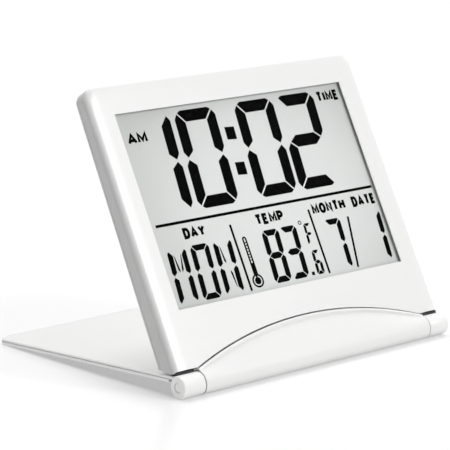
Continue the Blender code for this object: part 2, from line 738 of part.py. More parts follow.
def make_lid(clock, rear):
    """Rear shell: a flat lid with holes for the buttons, the battery door, the screws and sound."""
    lid = slice_off(
        body_slab(0.0, FACE_OFFSET + OVERCUT, FACE_OFFSET - DEPTH_FOOT - OVERCUT),
        FOOT_NORMAL * FOOT_HEIGHT,
        -FOOT_NORMAL,
    )
    slice_off(lid, rear_plane(LID_THICKNESS), REAR_NORMAL)
    slice_off(lid, rear_plane(0.0), -REAR_NORMAL)
    rim = [
        edge
        for edge in lid.edges
        if all(abs((v.co - REAR_ORIGIN).dot(REAR_NORMAL)) < EPS for v in edge.verts)
    ]
    bevel_edges(lid, rim, LID_EDGE, 2)
    lid = add_piece("rear_shell", lid, "white_plastic", clock)

    tubes = add_tool(
        "hinge_screw_tubes",
        rods(
            HINGE_SCREWS,
            BOSS_RADIUS,
            LID_THICKNESS / 2,
            DEPTH_FOOT - FACE_OFFSET - CRESCENT_BACK - 2 * FIT_GAP,
        ),
        rear,
    )
    combine(lid, "UNION", tubes)

    screws = CORNER_SCREWS + HINGE_SCREWS
    holes = add_tool(
        "screw_holes",
        rods(screws, SCREW_RADIUS + SCREW_CLEARANCE, -OVERCUT, DEPTH_FOOT),
        rear,
    )
    head_seats = add_tool(
        "screw_head_seats",
        rods(
            screws,
            SCREW_HEAD_RADIUS + FIT_GAP,
            -OVERCUT,
            SCREW_HEAD_HEIGHT + STACK_GAP,
            HOLE_SEGMENTS,
        ),
        rear,
    )
    button_holes = add_tool(
        "button_holes",
        rods(
            [(x, BUTTON_Y) for x in BUTTON_X],
            BUTTON_RADIUS + FIT_GAP,
            -OVERCUT,
            LID_THICKNESS + OVERCUT,
            HOLE_SEGMENTS,
        ),
        rear,
    )
    place = [(CELL_X, CELL_Y)]
    door_rim = add_tool(
        "door_rim_seat",
        rods(place, DOOR_RADIUS + FIT_GAP, -OVERCUT, DOOR_RIM + FIT_GAP, ROUND_SEGMENTS),
        rear,
    )
    door_hole = add_tool(
        "door_hole",
        rods(place, DOOR_PLUG + FIT_GAP, -OVERCUT, LID_THICKNESS + OVERCUT, ROUND_SEGMENTS),
        rear,
    )
    lug_notches = add_tool(
        "lug_notches",
        box(
            (
                2 * (DOOR_PLUG + LUG_REACH + FIT_GAP),
                LUG_WIDTH + 2 * FIT_GAP,
                2 * LID_THICKNESS,
            )
        ),
        rear,
        (CELL_X, CELL_Y, LID_THICKNESS + DOOR_RIM + FIT_GAP),
        (0, 0, -DOOR_TURN),
    )
    combine(lid, "DIFFERENCE", holes, head_seats, button_holes, door_rim, door_hole, lug_notches)

    slot_length, slot_width = SOUND_SLOT
    for i in range(SOUND_SLOTS):
        slot = add_tool(
            f"sound_slot_{i + 1}",
            box((slot_length, slot_width, 2 * OVERCUT), slot_width / 2 - EPS),
            rear,
            (SOUND_X, SOUND_Y + (i - (SOUND_SLOTS - 1) / 2) * SOUND_PITCH, 0),
        )
        combine(lid, "DIFFERENCE", slot)
    vent = add_tool(
        "sensor_vent",
        box((slot_width, slot_length, 2 * OVERCUT), slot_width / 2 - EPS),
        rear,
        (VENT_INSET - HALF_WIDTH, SOUND_Y, 0),
    )
    combine(lid, "DIFFERENCE", vent)


def make_display(clock):
    """Window, display glass, reflector film, carrier frame and the rubber contact strip."""
    add_piece(
        "window_lens",
        box(
            (
                SCREEN_WIDTH + 2 * LENS_MARGIN,
                SCREEN_HEIGHT + 2 * LENS_MARGIN,
                LENS_THICKNESS,
            )
        ),
        "clear_plastic",
        clock,
        (0, SCREEN_MIDDLE, LENS_FRONT - LENS_THICKNESS / 2),
    )
    add_piece(
        "lcd_glass",
        box((GLASS_WIDTH, GLASS_HEIGHT, GLASS_THICKNESS)),
        "display_glass",
        clock,
        (0, GLASS_MIDDLE, GLASS_FRONT - GLASS_THICKNESS / 2),
    )
    reflector_low = GLASS_LOW + STRIP_DEPTH + 3 * FIT_GAP
    add_piece(
        "lcd_reflector",
        box((GLASS_WIDTH, GLASS_HIGH - reflector_low, REFLECTOR_THICKNESS)),
        "reflector_film",
        clock,
        (0, (GLASS_HIGH + reflector_low) / 2, REFLECTOR_FRONT - REFLECTOR_THICKNESS / 2),
    )
    depth = GLASS_FRONT - REFLECTOR_BACK + STACK_GAP
    inner = (GLASS_WIDTH + 2 * FIT_GAP, GLASS_HEIGHT + 2 * FIT_GAP)
    outer = (inner[0] + 2 * CARRIER_WALL, inner[1] + 2 * CARRIER_WALL)
    middle = (0, GLASS_MIDDLE, GLASS_FRONT - depth / 2)
    carrier = add_piece("lcd_carrier", box((*outer, depth)), "grey_plastic", clock, middle)
    window = add_tool("carrier_window", box((*inner, 2 * OVERCUT)), clock, middle)
    combine(carrier, "DIFFERENCE", window)
    strip_front = GLASS_BACK - STACK_GAP
    strip_height = strip_front + BOARD_FRONT - STACK_GAP
    add_piece(
        "contact_strip",
        box((STRIP_WIDTH, STRIP_DEPTH, strip_height)),
        "grey_rubber",
        clock,
        (0, GLASS_LOW + FIT_GAP + STRIP_DEPTH / 2, strip_front - strip_height / 2),
    )


def make_board(clock, rear):
    """Circuit board with a hole for the cell, and the components on it."""
    board = add_piece(
        "main_board",
        box((BOARD_WIDTH, BOARD_HEIGHT, BOARD_THICKNESS)),
        "green_board",
        clock,
        (0, BOARD_FOOT + BOARD_HEIGHT / 2, -BOARD_FRONT - BOARD_THICKNESS / 2),
    )
    hole = add_tool(
        "cell_hole",
        rods([(CELL_X, CELL_Y)], CELL_RADIUS + CELL_HOLE_GAP, 0, DEPTH_FOOT, ROUND_SEGMENTS),
        rear,
    )
    pilots = add_tool(
        "board_screw_holes",
        rods(
            BOARD_SCREWS, SCREW_RADIUS + SCREW_CLEARANCE, BOARD_BACK - OVERCUT, OVERCUT - BOARD_FRONT
        ),
        clock,
    )
    combine(board, "DIFFERENCE", hole, pilots)

    crown = CHIP_HEIGHT * 0.35
    turned_piece(
        "chip_cap",
        [
            (0.0, CHIP_HEIGHT),
            (CHIP_RADIUS * 0.6, CHIP_HEIGHT - crown / 4),
            (CHIP_RADIUS * 0.88, CHIP_HEIGHT - crown),
            (CHIP_RADIUS, 0.0),
            (0.0, 0.0),
        ],
        "black_resin",
        clock,
        (*CHIP_PLACE, BOARD_BACK - STACK_GAP),
        (math.pi, 0, 0),
    )
    add_piece(
        "quartz_crystal",
        rod(CRYSTAL_RADIUS, CRYSTAL_LENGTH, 20, CRYSTAL_RADIUS / 4),
        "steel",
        clock,
        (BOARD_LEFT + CRYSTAL_INSET, BOARD_FOOT - CRYSTAL_RADIUS - FIT_GAP, -BOARD_FRONT - BOARD_THICKNESS / 2),
        (0, math.pi / 2, 0),
    )
    add_piece(
        "thermistor",
        rod(SENSOR_RADIUS, SENSOR_LENGTH, 16, SENSOR_RADIUS / 2),
        "black_resin",
        clock,
        (BOARD_LEFT + SENSOR_INSET, SENSOR_Y, BOARD_BACK - STACK_GAP - SENSOR_RADIUS),
        (math.pi / 2, 0, 0),
    )
    brass = BUZZER_THICKNESS
    turned_piece(
        "buzzer_disc",
        [
            (0.0, 2 * brass),
            (BUZZER_RADIUS * 0.7, 2 * brass),
            (BUZZER_RADIUS * 0.7, brass),
            (BUZZER_RADIUS, brass),
            (BUZZER_RADIUS, 0.0),
            (0.0, 0.0),
        ],
        "brass",
        rear,
        (SOUND_X, SOUND_Y, LID_THICKNESS + STACK_GAP),
    )


def make_battery(clock, rear):
    """Button cell, its two contacts and the round door that a coin turns."""
    edge = CELL_EDGE
    step = CELL_RADIUS * 0.9
    half = CELL_THICKNESS / 2
    cell_y = (REAR_ORIGIN + Vector((0, CELL_Y * math.cos(REAR_TILT), 0))).y
    turned_piece(
        "battery_cell",
        [
            (0.0, half),
            (step, half),
            (step, half - edge / 2),
            (CELL_RADIUS - edge, half - edge / 2),
            (CELL_RADIUS, half - 1.5 * edge),
            (CELL_RADIUS, -half + edge),
            (CELL_RADIUS - edge, -half),
            (0.0, -half),
        ],
        "steel",
        clock,
        (CELL_X, cell_y, (CELL_BACK - CELL_FRONT) / 2),
    )
    add_piece(
        "battery_contact_negative",
        box((CONTACT_WIDTH, 2 * CELL_RADIUS * 0.8, CONTACT_THICKNESS)),
        "steel",
        clock,
        (CELL_X, cell_y, (REFLECTOR_BACK - CELL_FRONT) / 2),
    )
    reach = CELL_RADIUS + 1.5 * FIT_GAP
    add_piece(
        "battery_contact_positive",
        box((CONTACT_THICKNESS, CONTACT_WIDTH, CELL_THICKNESS * 0.8)),
        "steel",
        clock,
        (CELL_X - reach, cell_y, (CELL_BACK - CELL_FRONT) / 2),
    )

    door = turned_piece(
        "battery_door",
        [
            (0.0, 0.0),
            (DOOR_RADIUS - DOOR_RIM / 3, 0.0),
            (DOOR_RADIUS, -DOOR_RIM / 3),
            (DOOR_RADIUS, -DOOR_RIM),
            (DOOR_PLUG, -DOOR_RIM),
            (DOOR_PLUG, -DOOR_DEPTH),
            (0.0, -DOOR_DEPTH),
        ],
        "white_plastic",
        rear,
        (CELL_X, CELL_Y, 0),
        (math.pi, 0, 0),
    )
    lug_low = LID_THICKNESS + STACK_GAP
    lug_high = lug_low + LUG_THICKNESS
    ring_depth = lug_high - DOOR_RIM
    hub = add_tool(
        "door_hub",
        rods([(CELL_X, CELL_Y)], DOOR_PLUG - EPS, DOOR_RIM / 2, lug_high, ROUND_SEGMENTS),
        rear,
    )
    lugs = add_tool(
        "door_lugs",
        box((2 * (DOOR_PLUG + LUG_REACH), LUG_WIDTH, LUG_THICKNESS - EPS)),
        rear,
        (CELL_X, CELL_Y, (lug_low + lug_high) / 2),
    )
    hollow = add_tool(
        "door_hollow",
        rods([(CELL_X, CELL_Y)], CELL_RADIUS + FIT_GAP, DOOR_DEPTH - FIT_GAP, ring_depth + OVERCUT),
        rear,
    )
    slot = add_tool("coin_slot", box(COIN_SLOT), rear, (CELL_X, CELL_Y, 0))
    combine(door, "UNION", hub, lugs)
    combine(door, "DIFFERENCE", hollow, slot)


def make_buttons(clock, rear):
    """Five round push buttons over a rubber membrane with a dome for each."""
    base = BOARD_BACK - STACK_GAP - MEMBRANE_THICKNESS
    flange_end = LID_THICKNESS + STACK_GAP + FLANGE_THICKNESS
    flange_w = REAR_ORIGIN.z + BUTTON_Y * math.sin(REAR_TILT) + flange_end
    dome_height = base - flange_w - BUTTON_TRAVEL - STACK_GAP / 2
    width = (BUTTON_COUNT - 1) * BUTTON_PITCH + 2 * FLANGE_RADIUS
    button_v = FACE_FOOT + BUTTON_Y
    membrane = add_piece(
        "keypad_membrane",
        box((width, 2 * FLANGE_RADIUS - 2 * FIT_GAP, MEMBRANE_THICKNESS), MEMBRANE_CORNER),
        "grey_rubber",
        clock,
        (0, button_v, base + MEMBRANE_THICKNESS / 2),
    )
    dome_tool = add_tool(
        "membrane_domes",
        rods(
            [(x, button_v) for x in BUTTON_X],
            DOME_RADIUS,
            base - dome_height,
            base + MEMBRANE_THICKNESS / 2,
        ),
        clock,
    )
    combine(membrane, "UNION", dome_tool)

    edge = BUTTON_EDGE
    for number, x in enumerate(BUTTON_X, start=1):
        turned_piece(
            f"push_button_{number}",
            [
                (0.0, BUTTON_PROUD),
                (BUTTON_RADIUS - 2 * edge, BUTTON_PROUD - edge / 6),
                (BUTTON_RADIUS - edge / 3, BUTTON_PROUD - edge / 1.5),
                (BUTTON_RADIUS, BUTTON_PROUD - 2 * edge),
                (BUTTON_RADIUS, -LID_THICKNESS - STACK_GAP),
                (FLANGE_RADIUS, -LID_THICKNESS - STACK_GAP),
                (FLANGE_RADIUS, -flange_end),
                (0.0, -flange_end),
            ],
            "white_plastic",
            rear,
            (x, BUTTON_Y, 0),
            (math.pi, 0, 0),
            steps=HOLE_SEGMENTS,
        )


def make_screw(name, length, parent, location):
    """Pan-head screw with a cross recess, its head out and its tip along +Z of the parent."""
    radius = SCREW_HEAD_RADIUS
    screw = turned_piece(
        name,
        [
            (0.0, 0.0),
            (radius * 0.75, -0.08 * MM),
            (radius, -SCREW_HEAD_HEIGHT * 0.5),
            (radius, -SCREW_HEAD_HEIGHT),
            (SCREW_RADIUS, -SCREW_HEAD_HEIGHT),
            (SCREW_RADIUS, -SCREW_HEAD_HEIGHT - length * 0.85),
            (0.0, -SCREW_HEAD_HEIGHT - length),
        ],
        "steel",
        parent,
        location,
        (math.pi, 0, 0),
        steps=SCREW_SEGMENTS,
    )
    for quarter, label in ((0.0, "a"), (math.pi / 2, "b")):
        recess = add_tool(
            f"{name}_recess_{label}",
            box((radius * 1.15, 0.3 * MM, SCREW_HEAD_HEIGHT)),
            parent,
            location,
            (0, 0, quarter + math.radians(20)),
        )
        combine(screw, "DIFFERENCE", recess)


def make_screws(clock, rear):
    """Four screws at the corners, two into the hinge cover and two in the board."""
    sunk = STACK_GAP / 2
    for number, (x, y) in enumerate(CORNER_SCREWS, start=1):
        make_screw(f"case_screw_{number}", SCREW_LENGTH, rear, (x, y, sunk))
    for number, (x, y) in enumerate(HINGE_SCREWS, start=1):
        make_screw(f"hinge_screw_{number}", HINGE_SCREW_LENGTH, rear, (x, y, sunk))
    for number, (x, y) in enumerate(BOARD_SCREWS, start=1):
        make_screw(
            f"board_screw_{number}",
            BOARD_SCREW_LENGTH,
            clock,
            (x, y, BOARD_BACK - STACK_GAP - SCREW_HEAD_HEIGHT),
        )


def build_clock():
    """Build the whole clock, open on its cover."""
    stand = add_frame("stand_frame", HINGE, -COVER_SLOPE)
    clock = add_frame("clock_frame", HINGE, math.pi / 2 - FACE_LEAN)
    rear = add_frame("rear_frame", REAR_ORIGIN, REAR_TILT, clock)
    make_cover(stand)
    make_hinge_pins(stand)
    make_crescent(clock, rear)
    make_bezel(clock, rear, stand)
    make_lid(clock, rear)
    make_display(clock)
    make_board(clock, rear)
    make_battery(clock, rear)
    make_buttons(clock, rear)
    make_screws(clock, rear)


clear_scene()
PARTS = new_collection("folding_alarm_clock")
TOOLS = new_collection("cutters")
build_clock()
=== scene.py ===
"""Folding travel alarm clock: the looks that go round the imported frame.

Every sub-assembly is a class that holds its sizes and builds and dresses its own pieces. Lengths
are in metres. Three frames place the pieces, as in the CAD: the stand's and the clock's, both on
the hinge axis, and the rear's, on the clock's back.
"""

import json
import logging
import math
from collections.abc import Iterable, Sequence
from dataclasses import dataclass, field
from enum import Enum
from typing import Any

import bmesh
import bpy
from mathutils import Matrix, Vector

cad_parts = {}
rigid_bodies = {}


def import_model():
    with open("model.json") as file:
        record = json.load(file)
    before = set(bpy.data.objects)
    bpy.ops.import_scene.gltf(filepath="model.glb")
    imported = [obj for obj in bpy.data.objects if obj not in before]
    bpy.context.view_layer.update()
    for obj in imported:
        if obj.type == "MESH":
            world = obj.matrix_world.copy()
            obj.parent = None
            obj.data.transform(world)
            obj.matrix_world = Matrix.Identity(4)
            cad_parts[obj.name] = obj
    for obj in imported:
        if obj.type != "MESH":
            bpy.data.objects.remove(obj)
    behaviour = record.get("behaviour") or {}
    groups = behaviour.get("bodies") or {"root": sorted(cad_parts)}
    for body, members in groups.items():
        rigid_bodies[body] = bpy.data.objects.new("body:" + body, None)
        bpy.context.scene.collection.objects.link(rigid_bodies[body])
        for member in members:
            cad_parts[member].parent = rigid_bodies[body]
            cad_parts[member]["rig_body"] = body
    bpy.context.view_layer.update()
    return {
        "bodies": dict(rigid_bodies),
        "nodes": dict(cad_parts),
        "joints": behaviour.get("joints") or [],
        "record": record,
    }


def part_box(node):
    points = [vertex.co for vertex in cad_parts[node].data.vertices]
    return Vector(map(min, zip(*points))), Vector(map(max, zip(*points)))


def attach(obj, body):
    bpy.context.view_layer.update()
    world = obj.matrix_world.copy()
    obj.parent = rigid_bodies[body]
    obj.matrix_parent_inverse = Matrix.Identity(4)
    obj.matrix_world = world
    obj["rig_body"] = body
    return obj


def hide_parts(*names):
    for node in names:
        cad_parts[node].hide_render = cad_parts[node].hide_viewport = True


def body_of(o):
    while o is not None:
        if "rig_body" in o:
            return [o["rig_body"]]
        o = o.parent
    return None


log = logging.getLogger("alarm_clock")

MM = 0.001
HAIR = 0.01 * MM  # less than this counts as touching
SLANT = 0.062  # how far the display's figures lean to the right for their height
Point = tuple[float, float]
Colour = tuple[float, float, float]


class Body(Enum):
    """The CAD bodies that pieces made here ride on."""

    STAND = "stand"
    CLOCK = "clock"


class Slot(Enum):
    """The material slots of the record."""

    WHITE = "white_plastic"
    WINDOW = "clear_window"
    GLASS = "display_glass"
    FILM = "reflector_film"
    GREY = "grey_plastic"
    RUBBER = "grey_rubber"
    BOARD = "green_board"
    RESIN = "black_resin"
    STEEL = "steel"
    CELL = "cell_steel"
    BRASS = "brass"


# ---------------------------------------------------------------- shading
class Value:
    """A node's output that adds Math nodes when it is used in an expression."""

    def __init__(self, recipe: "Recipe", socket: bpy.types.NodeSocket) -> None:
        """Wrap a socket of a recipe's node tree."""
        self.recipe = recipe
        self.socket = socket

    def _math(self, operation: str, other: Any, swapped: bool = False) -> "Value":
        """Return the Math node's output for this value and another.

        Args:
            operation: The Math node's operation.
            other: A number or another value.
            swapped: Whether the other one comes first.

        Returns:
            The result as a value.
        """
        first, second = (other, self) if swapped else (self, other)
        return self.recipe.node("ShaderNodeMath", {"operation": operation}, {0: first, 1: second})

    def __add__(self, other: Any) -> "Value":
        """Return the sum."""
        return self._math("ADD", other)

    __radd__ = __add__

    def __sub__(self, other: Any) -> "Value":
        """Return the difference."""
        return self._math("SUBTRACT", other)

    def __rsub__(self, other: Any) -> "Value":
        """Return the difference the other way round."""
        return self._math("SUBTRACT", other, swapped=True)

    def __mul__(self, other: Any) -> "Value":
        """Return the product."""
        return self._math("MULTIPLY", other)

    __rmul__ = __mul__

    def __truediv__(self, other: Any) -> "Value":
        """Return the quotient."""
        return self._math("DIVIDE", other)

    def __pow__(self, other: Any) -> "Value":
        """Return the power."""
        return self._math("POWER", other)

    def less_than(self, other: Any) -> "Value":
        """Return 1 where this value is below the other, or 0."""
        return self._math("LESS_THAN", other)

    def band(self, low: float, high: float) -> "Value":
        """Return a smooth step from 0 at low to 1 at high."""
        return self.recipe.node(
            "ShaderNodeMapRange",
            {"interpolation_type": "SMOOTHSTEP"},
            {"Value": self, "From Min": low, "From Max": high},
        )


class Recipe:
    """A material's or a world's node tree, with one method for every kind of node."""

    def __init__(self, name: str, world: bool = False) -> None:
        """Start an empty node tree with its output."""
        self.owner = (bpy.data.worlds if world else bpy.data.materials).new(name)
        self.owner.use_nodes = True
        self.tree = self.owner.node_tree
        self.tree.nodes.clear()
        kind = "ShaderNodeOutputWorld" if world else "ShaderNodeOutputMaterial"
        self.output = self.tree.nodes.new(kind)

    def node(
        self,
        kind: str,
        settings: dict[str, Any] | None = None,
        sockets: dict[int | str, Any] | None = None,
        output: int | str = 0,
    ) -> Value:
        """Add a node.

        Args:
            kind: The node's type.
            settings: Its own settings, set first.
            sockets: Numbers, tuples or values for its inputs.
            output: The output to return.

        Returns:
            That output as a value.
        """
        made = self.tree.nodes.new(kind)
        for key, setting in (settings or {}).items():
            setattr(made, key, setting)
        for key, value in (sockets or {}).items():
            self.feed(made.inputs[key], value)
        return Value(self, made.outputs[output])

    def feed(self, socket: bpy.types.NodeSocket, value: Any) -> None:
        """Link a value to an input, or set its constant."""
        if isinstance(value, Value):
            self.tree.links.new(value.socket, socket)
        elif isinstance(value, tuple) and len(value) == 3 and socket.type == "RGBA":
            socket.default_value = (*value, 1.0)
        else:
            socket.default_value = value

    def place(self) -> Value:
        """Return the Object coordinates, which are the part's own."""
        return self.node("ShaderNodeTexCoord", output="Object")

    def split(self, vector: Value) -> tuple[Value, Value, Value]:
        """Return a vector's three parts."""
        parts = self.tree.nodes.new("ShaderNodeSeparateXYZ")
        self.feed(parts.inputs[0], vector)
        return tuple(Value(self, socket) for socket in parts.outputs)

    def mapped(self, frame: Matrix) -> Value:
        """Return the coordinates of one of the part's frames, a turn about X and a shift."""
        back = frame.inverted()
        return self.node(
            "ShaderNodeMapping",
            sockets={
                "Vector": self.place(),
                "Location": tuple(back.translation),
                "Rotation": tuple(back.to_euler()),
            },
        )

    def noise(self, vector: Value, scale: float, detail: float = 2.0, **sockets: float) -> Value:
        """Return a noise of this many cells to the metre."""
        return self.node(
            "ShaderNodeTexNoise",
            sockets={"Vector": vector, "Scale": scale, "Detail": detail, **sockets},
        )

    def blend(self, factor: Any, first: Any, second: Any) -> Value:
        """Return two colours mixed."""
        return self.node(
            "ShaderNodeMix", {"data_type": "RGBA"}, {0: factor, 6: first, 7: second}, output=2
        )

    def bump(self, height: Value, distance: float) -> Value:
        """Return the normal over a height."""
        return self.node("ShaderNodeBump", sockets={"Height": height, "Distance": distance})

    def surface(self, **sockets: Any) -> Value:
        """Return a Principled shader; a socket's spaces are written as underscores."""
        return self.node(
            "ShaderNodeBsdfPrincipled",
            sockets={key.replace("_", " "): value for key, value in sockets.items()},
        )

    def plain(self, **sockets: Any) -> bpy.types.Material:
        """Finish with one Principled shader and return the material."""
        return self.finish(self.surface(**sockets))

    def finish(self, shader: Value) -> bpy.types.Material | bpy.types.World:
        """Link a shader to the output and return the material or the world."""
        self.tree.links.new(shader.socket, self.output.inputs["Surface"])
        return self.owner


@dataclass(frozen=True)
class MouldedPlastic:
    """Moulded plastic: a fine spark-eroded grain, and a faint flow in its gloss."""

    name: str
    colour: Colour
    roughness: float = 0.34
    grain: float = 1400.0
    grain_height: float = 0.004 * MM
    shade: float = 0.985

    def material(self) -> bpy.types.Material:
        """Build the material."""
        recipe = Recipe(self.name)
        place = recipe.place()
        flow = recipe.noise(place, 22.0, 3.0)
        grain = recipe.noise(place, self.grain, 2.0)
        darker = tuple(channel * self.shade for channel in self.colour)
        return recipe.plain(
            Base_Color=recipe.blend(flow.band(0.35, 0.65), self.colour, darker),
            Roughness=self.roughness + (flow - 0.5) * 0.08 + (grain - 0.5) * 0.05,
            Normal=recipe.bump(grain, self.grain_height),
        )


@dataclass(frozen=True)
class ClearWindow:
    """Clear acrylic: what lies behind shows through, and its face mirrors at a slant."""

    name: str = "window_acrylic"
    tint: Colour = (0.985, 0.99, 0.988)
    sheen: Colour = (0.9, 0.9, 0.9)
    roughness: float = 0.03
    mirror: float = 0.6

    def material(self) -> bpy.types.Material:
        """Build the material."""
        recipe = Recipe(self.name)
        smudge = recipe.noise(recipe.place(), 60.0, 3.0)
        clear = recipe.node("ShaderNodeBsdfTransparent", sockets={"Color": self.tint})
        gloss = recipe.surface(
            Base_Color=self.sheen,
            Roughness=self.roughness + smudge.band(0.5, 0.8) * 0.05,
            Metallic=1.0,
        )
        facing = recipe.node("ShaderNodeLayerWeight", sockets={"Blend": 0.5}, output="Facing")
        slanted = facing**5.0 * self.mirror
        return recipe.finish(
            recipe.node("ShaderNodeMixShader", sockets={0: slanted, 1: clear, 2: gloss})
        )


@dataclass(frozen=True)
class DisplayGlass:
    """The display under its matte polariser, painted lighter in its middle, with painted shade
    towards its corners.
    """

    frame: Matrix
    name: str = "display_polariser"
    # painted light: dark is the painted shade at the corners, light the painted light in the
    # middle
    dark: Colour = (0.54, 0.54, 0.535)
    light: Colour = (0.755, 0.755, 0.75)
    middle: Point = (6.0 * MM, 52.0 * MM)
    reach: Point = (62.0 * MM, 50.0 * MM)

    def material(self) -> bpy.types.Material:
        """Build the material."""
        recipe = Recipe(self.name)
        place = recipe.mapped(self.frame)
        across, up, _ = recipe.split(place)
        aside = (across - self.middle[0]) / self.reach[0]
        above = (up - self.middle[1]) / self.reach[1]
        cloud = recipe.noise(place, 45.0, 2.0)
        grain = recipe.noise(place, 5200.0, 1.0)
        # painted light: a round pool of lighter colour in the middle shading off to the corners,
        # plus random mottle and grain
        painted_light_and_mottle = 1.0 - aside * aside - above * above + (cloud - 0.5) * 0.2 + (grain - 0.5) * 0.2
        return recipe.plain(
            Base_Color=recipe.blend(painted_light_and_mottle.band(-0.2, 1.1), self.dark, self.light),
            Roughness=0.42 + (grain - 0.5) * 0.1,
            Normal=recipe.bump(grain, 0.002 * MM),
            Specular_IOR_Level=0.35,
        )


@dataclass(frozen=True)
class DarkenedCrystal:
    """Liquid crystal where it is switched on: black, with the faintest unevenness."""

    name: str = "dark_segments"
    dark: Colour = (0.0005, 0.0005, 0.0005)
    light: Colour = (0.002, 0.002, 0.002)

    def material(self) -> bpy.types.Material:
        """Build the material."""
        recipe = Recipe(self.name)
        uneven = recipe.noise(recipe.place(), 700.0, 2.0)
        return recipe.plain(
            Base_Color=recipe.blend(uneven, self.dark, self.light),
            Roughness=0.6 + uneven * 0.1,
            Specular_IOR_Level=0.02,
        )


@dataclass(frozen=True)
class ReflectorFilm:
    """Silvery film behind the display, with a fine emboss."""

    name: str = "silver_film"
    colour: Colour = (0.62, 0.63, 0.61)

    def material(self) -> bpy.types.Material:
        """Build the material."""
        recipe = Recipe(self.name)
        place = recipe.place()
        pearl = recipe.node("ShaderNodeTexVoronoi", sockets={"Vector": place, "Scale": 2600.0})
        paler = tuple(min(1.0, channel * 1.12) for channel in self.colour)
        return recipe.plain(
            Base_Color=recipe.blend(pearl, self.colour, paler),
            Roughness=0.4 + pearl * 0.15,
            Metallic=0.6,
            Normal=recipe.bump(pearl, 0.004 * MM),
        )


@dataclass(frozen=True)
class MouldedRubber:
    """Silicone rubber: matte, with a faint bloom and dust-fine pits."""

    name: str = "silicone_rubber"
    colour: Colour = (0.045, 0.045, 0.047)

    def material(self) -> bpy.types.Material:
        """Build the material."""
        recipe = Recipe(self.name)
        place = recipe.place()
        bloom = recipe.noise(place, 120.0, 3.0)
        pits = recipe.noise(place, 3000.0, 1.0)
        paler = tuple(channel * 1.25 for channel in self.colour)
        return recipe.plain(
            Base_Color=recipe.blend(bloom.band(0.4, 0.7), self.colour, paler),
            Roughness=0.72 + pits * 0.12,
            Normal=recipe.bump(pits, 0.006 * MM),
        )


@dataclass(frozen=True)
class CircuitBoard:
    """Green solder mask over copper tracks, with a weave under it and tinned pads."""

    frame: Matrix
    name: str = "solder_mask"
    mask: Colour = (0.012, 0.115, 0.045)
    track: Colour = (0.03, 0.22, 0.085)
    tin: Colour = (0.62, 0.62, 0.6)
    glass: Colour = (0.05, 0.2, 0.09)
    pitch: float = 2.54 * MM

    def material(self) -> bpy.types.Material:
        """Build the material."""
        recipe = Recipe(self.name)
        place = recipe.mapped(self.frame)
        bent = recipe.node(
            "ShaderNodeTexVoronoi",
            {"distance": "MANHATTAN", "feature": "F1"},
            {"Vector": place, "Scale": 0.45 / self.pitch},
        )
        rows = recipe.node("ShaderNodeMath", {"operation": "FRACT"}, {0: bent * 7.0})
        tracks = rows.less_than(0.42)
        weave = recipe.node(
            "ShaderNodeTexWave",
            sockets={"Vector": place, "Scale": 500.0, "Distortion": 0.4},
        )
        dots = recipe.node(
            "ShaderNodeTexVoronoi", sockets={"Vector": place, "Scale": 0.5 / self.pitch}
        )
        pads = dots.less_than(0.16)
        mask = recipe.blend(tracks, self.mask, self.track)
        woven = recipe.blend(weave * 0.15, mask, self.glass)
        return recipe.plain(
            Base_Color=recipe.blend(pads, woven, self.tin),
            Roughness=0.32 + weave * 0.08,
            Metallic=pads * 0.9,
            Normal=recipe.bump(tracks + weave * 0.2, 0.02 * MM),
        )


@dataclass(frozen=True)
class PottingResin:
    """Black potting resin: glossy, with soft flow rings."""

    name: str = "potting_resin"
    dark: Colour = (0.008, 0.008, 0.009)
    light: Colour = (0.03, 0.03, 0.032)

    def material(self) -> bpy.types.Material:
        """Build the material."""
        recipe = Recipe(self.name)
        flow = recipe.noise(recipe.place(), 260.0, 2.0, Distortion=0.6)
        return recipe.plain(
            Base_Color=recipe.blend(flow, self.dark, self.light),
            Roughness=0.22 + flow * 0.15,
            Normal=recipe.bump(flow, 0.03 * MM),
        )


@dataclass(frozen=True)
class BrushedMetal:
    """Metal with fine marks drawn along X, and a faint tarnish."""

    name: str
    colour: Colour
    tarnish: Colour
    roughness: float = 0.3
    marks: float = 3.0e3

    def material(self) -> bpy.types.Material:
        """Build the material."""
        recipe = Recipe(self.name)
        place = recipe.place()
        stretch = {"Vector": place, "Scale": (0.06, 1.0, 1.0)}
        drawn = recipe.node("ShaderNodeMapping", sockets=stretch)
        marks = recipe.noise(drawn, self.marks, 3.0)
        cloud = recipe.noise(place, 180.0, 3.0)
        return recipe.plain(
            Base_Color=recipe.blend(cloud.band(0.45, 0.85), self.colour, self.tarnish),
            Roughness=self.roughness + (marks - 0.5) * 0.2,
            Metallic=1.0,
            Normal=recipe.bump(marks, 0.003 * MM),
        )


@dataclass(frozen=True)
class BuzzerDisc:
    """Sheet brass with a pale ceramic disc on its middle."""

    centre: Vector
    name: str = "buzzer_brass"
    ceramic_radius: float = 4.6 * MM

    def material(self) -> bpy.types.Material:
        """Build the material."""
        recipe = Recipe(self.name)
        place = recipe.place()
        reach = recipe.node(
            "ShaderNodeVectorMath",
            {"operation": "DISTANCE"},
            {0: place, 1: tuple(self.centre)},
            output="Value",
        )
        brass = reach.band(self.ceramic_radius, self.ceramic_radius * 1.03)
        turned = recipe.noise(place, 900.0, 2.0)
        ceramic = recipe.blend(turned, (0.72, 0.7, 0.64), (0.78, 0.77, 0.72))
        sheet = recipe.blend(turned, (0.7, 0.5, 0.22), (0.8, 0.6, 0.3))
        return recipe.plain(
            Base_Color=recipe.blend(brass, ceramic, sheet),
            Roughness=0.5 - brass * 0.18 + turned * 0.08,
            Metallic=brass,
        )


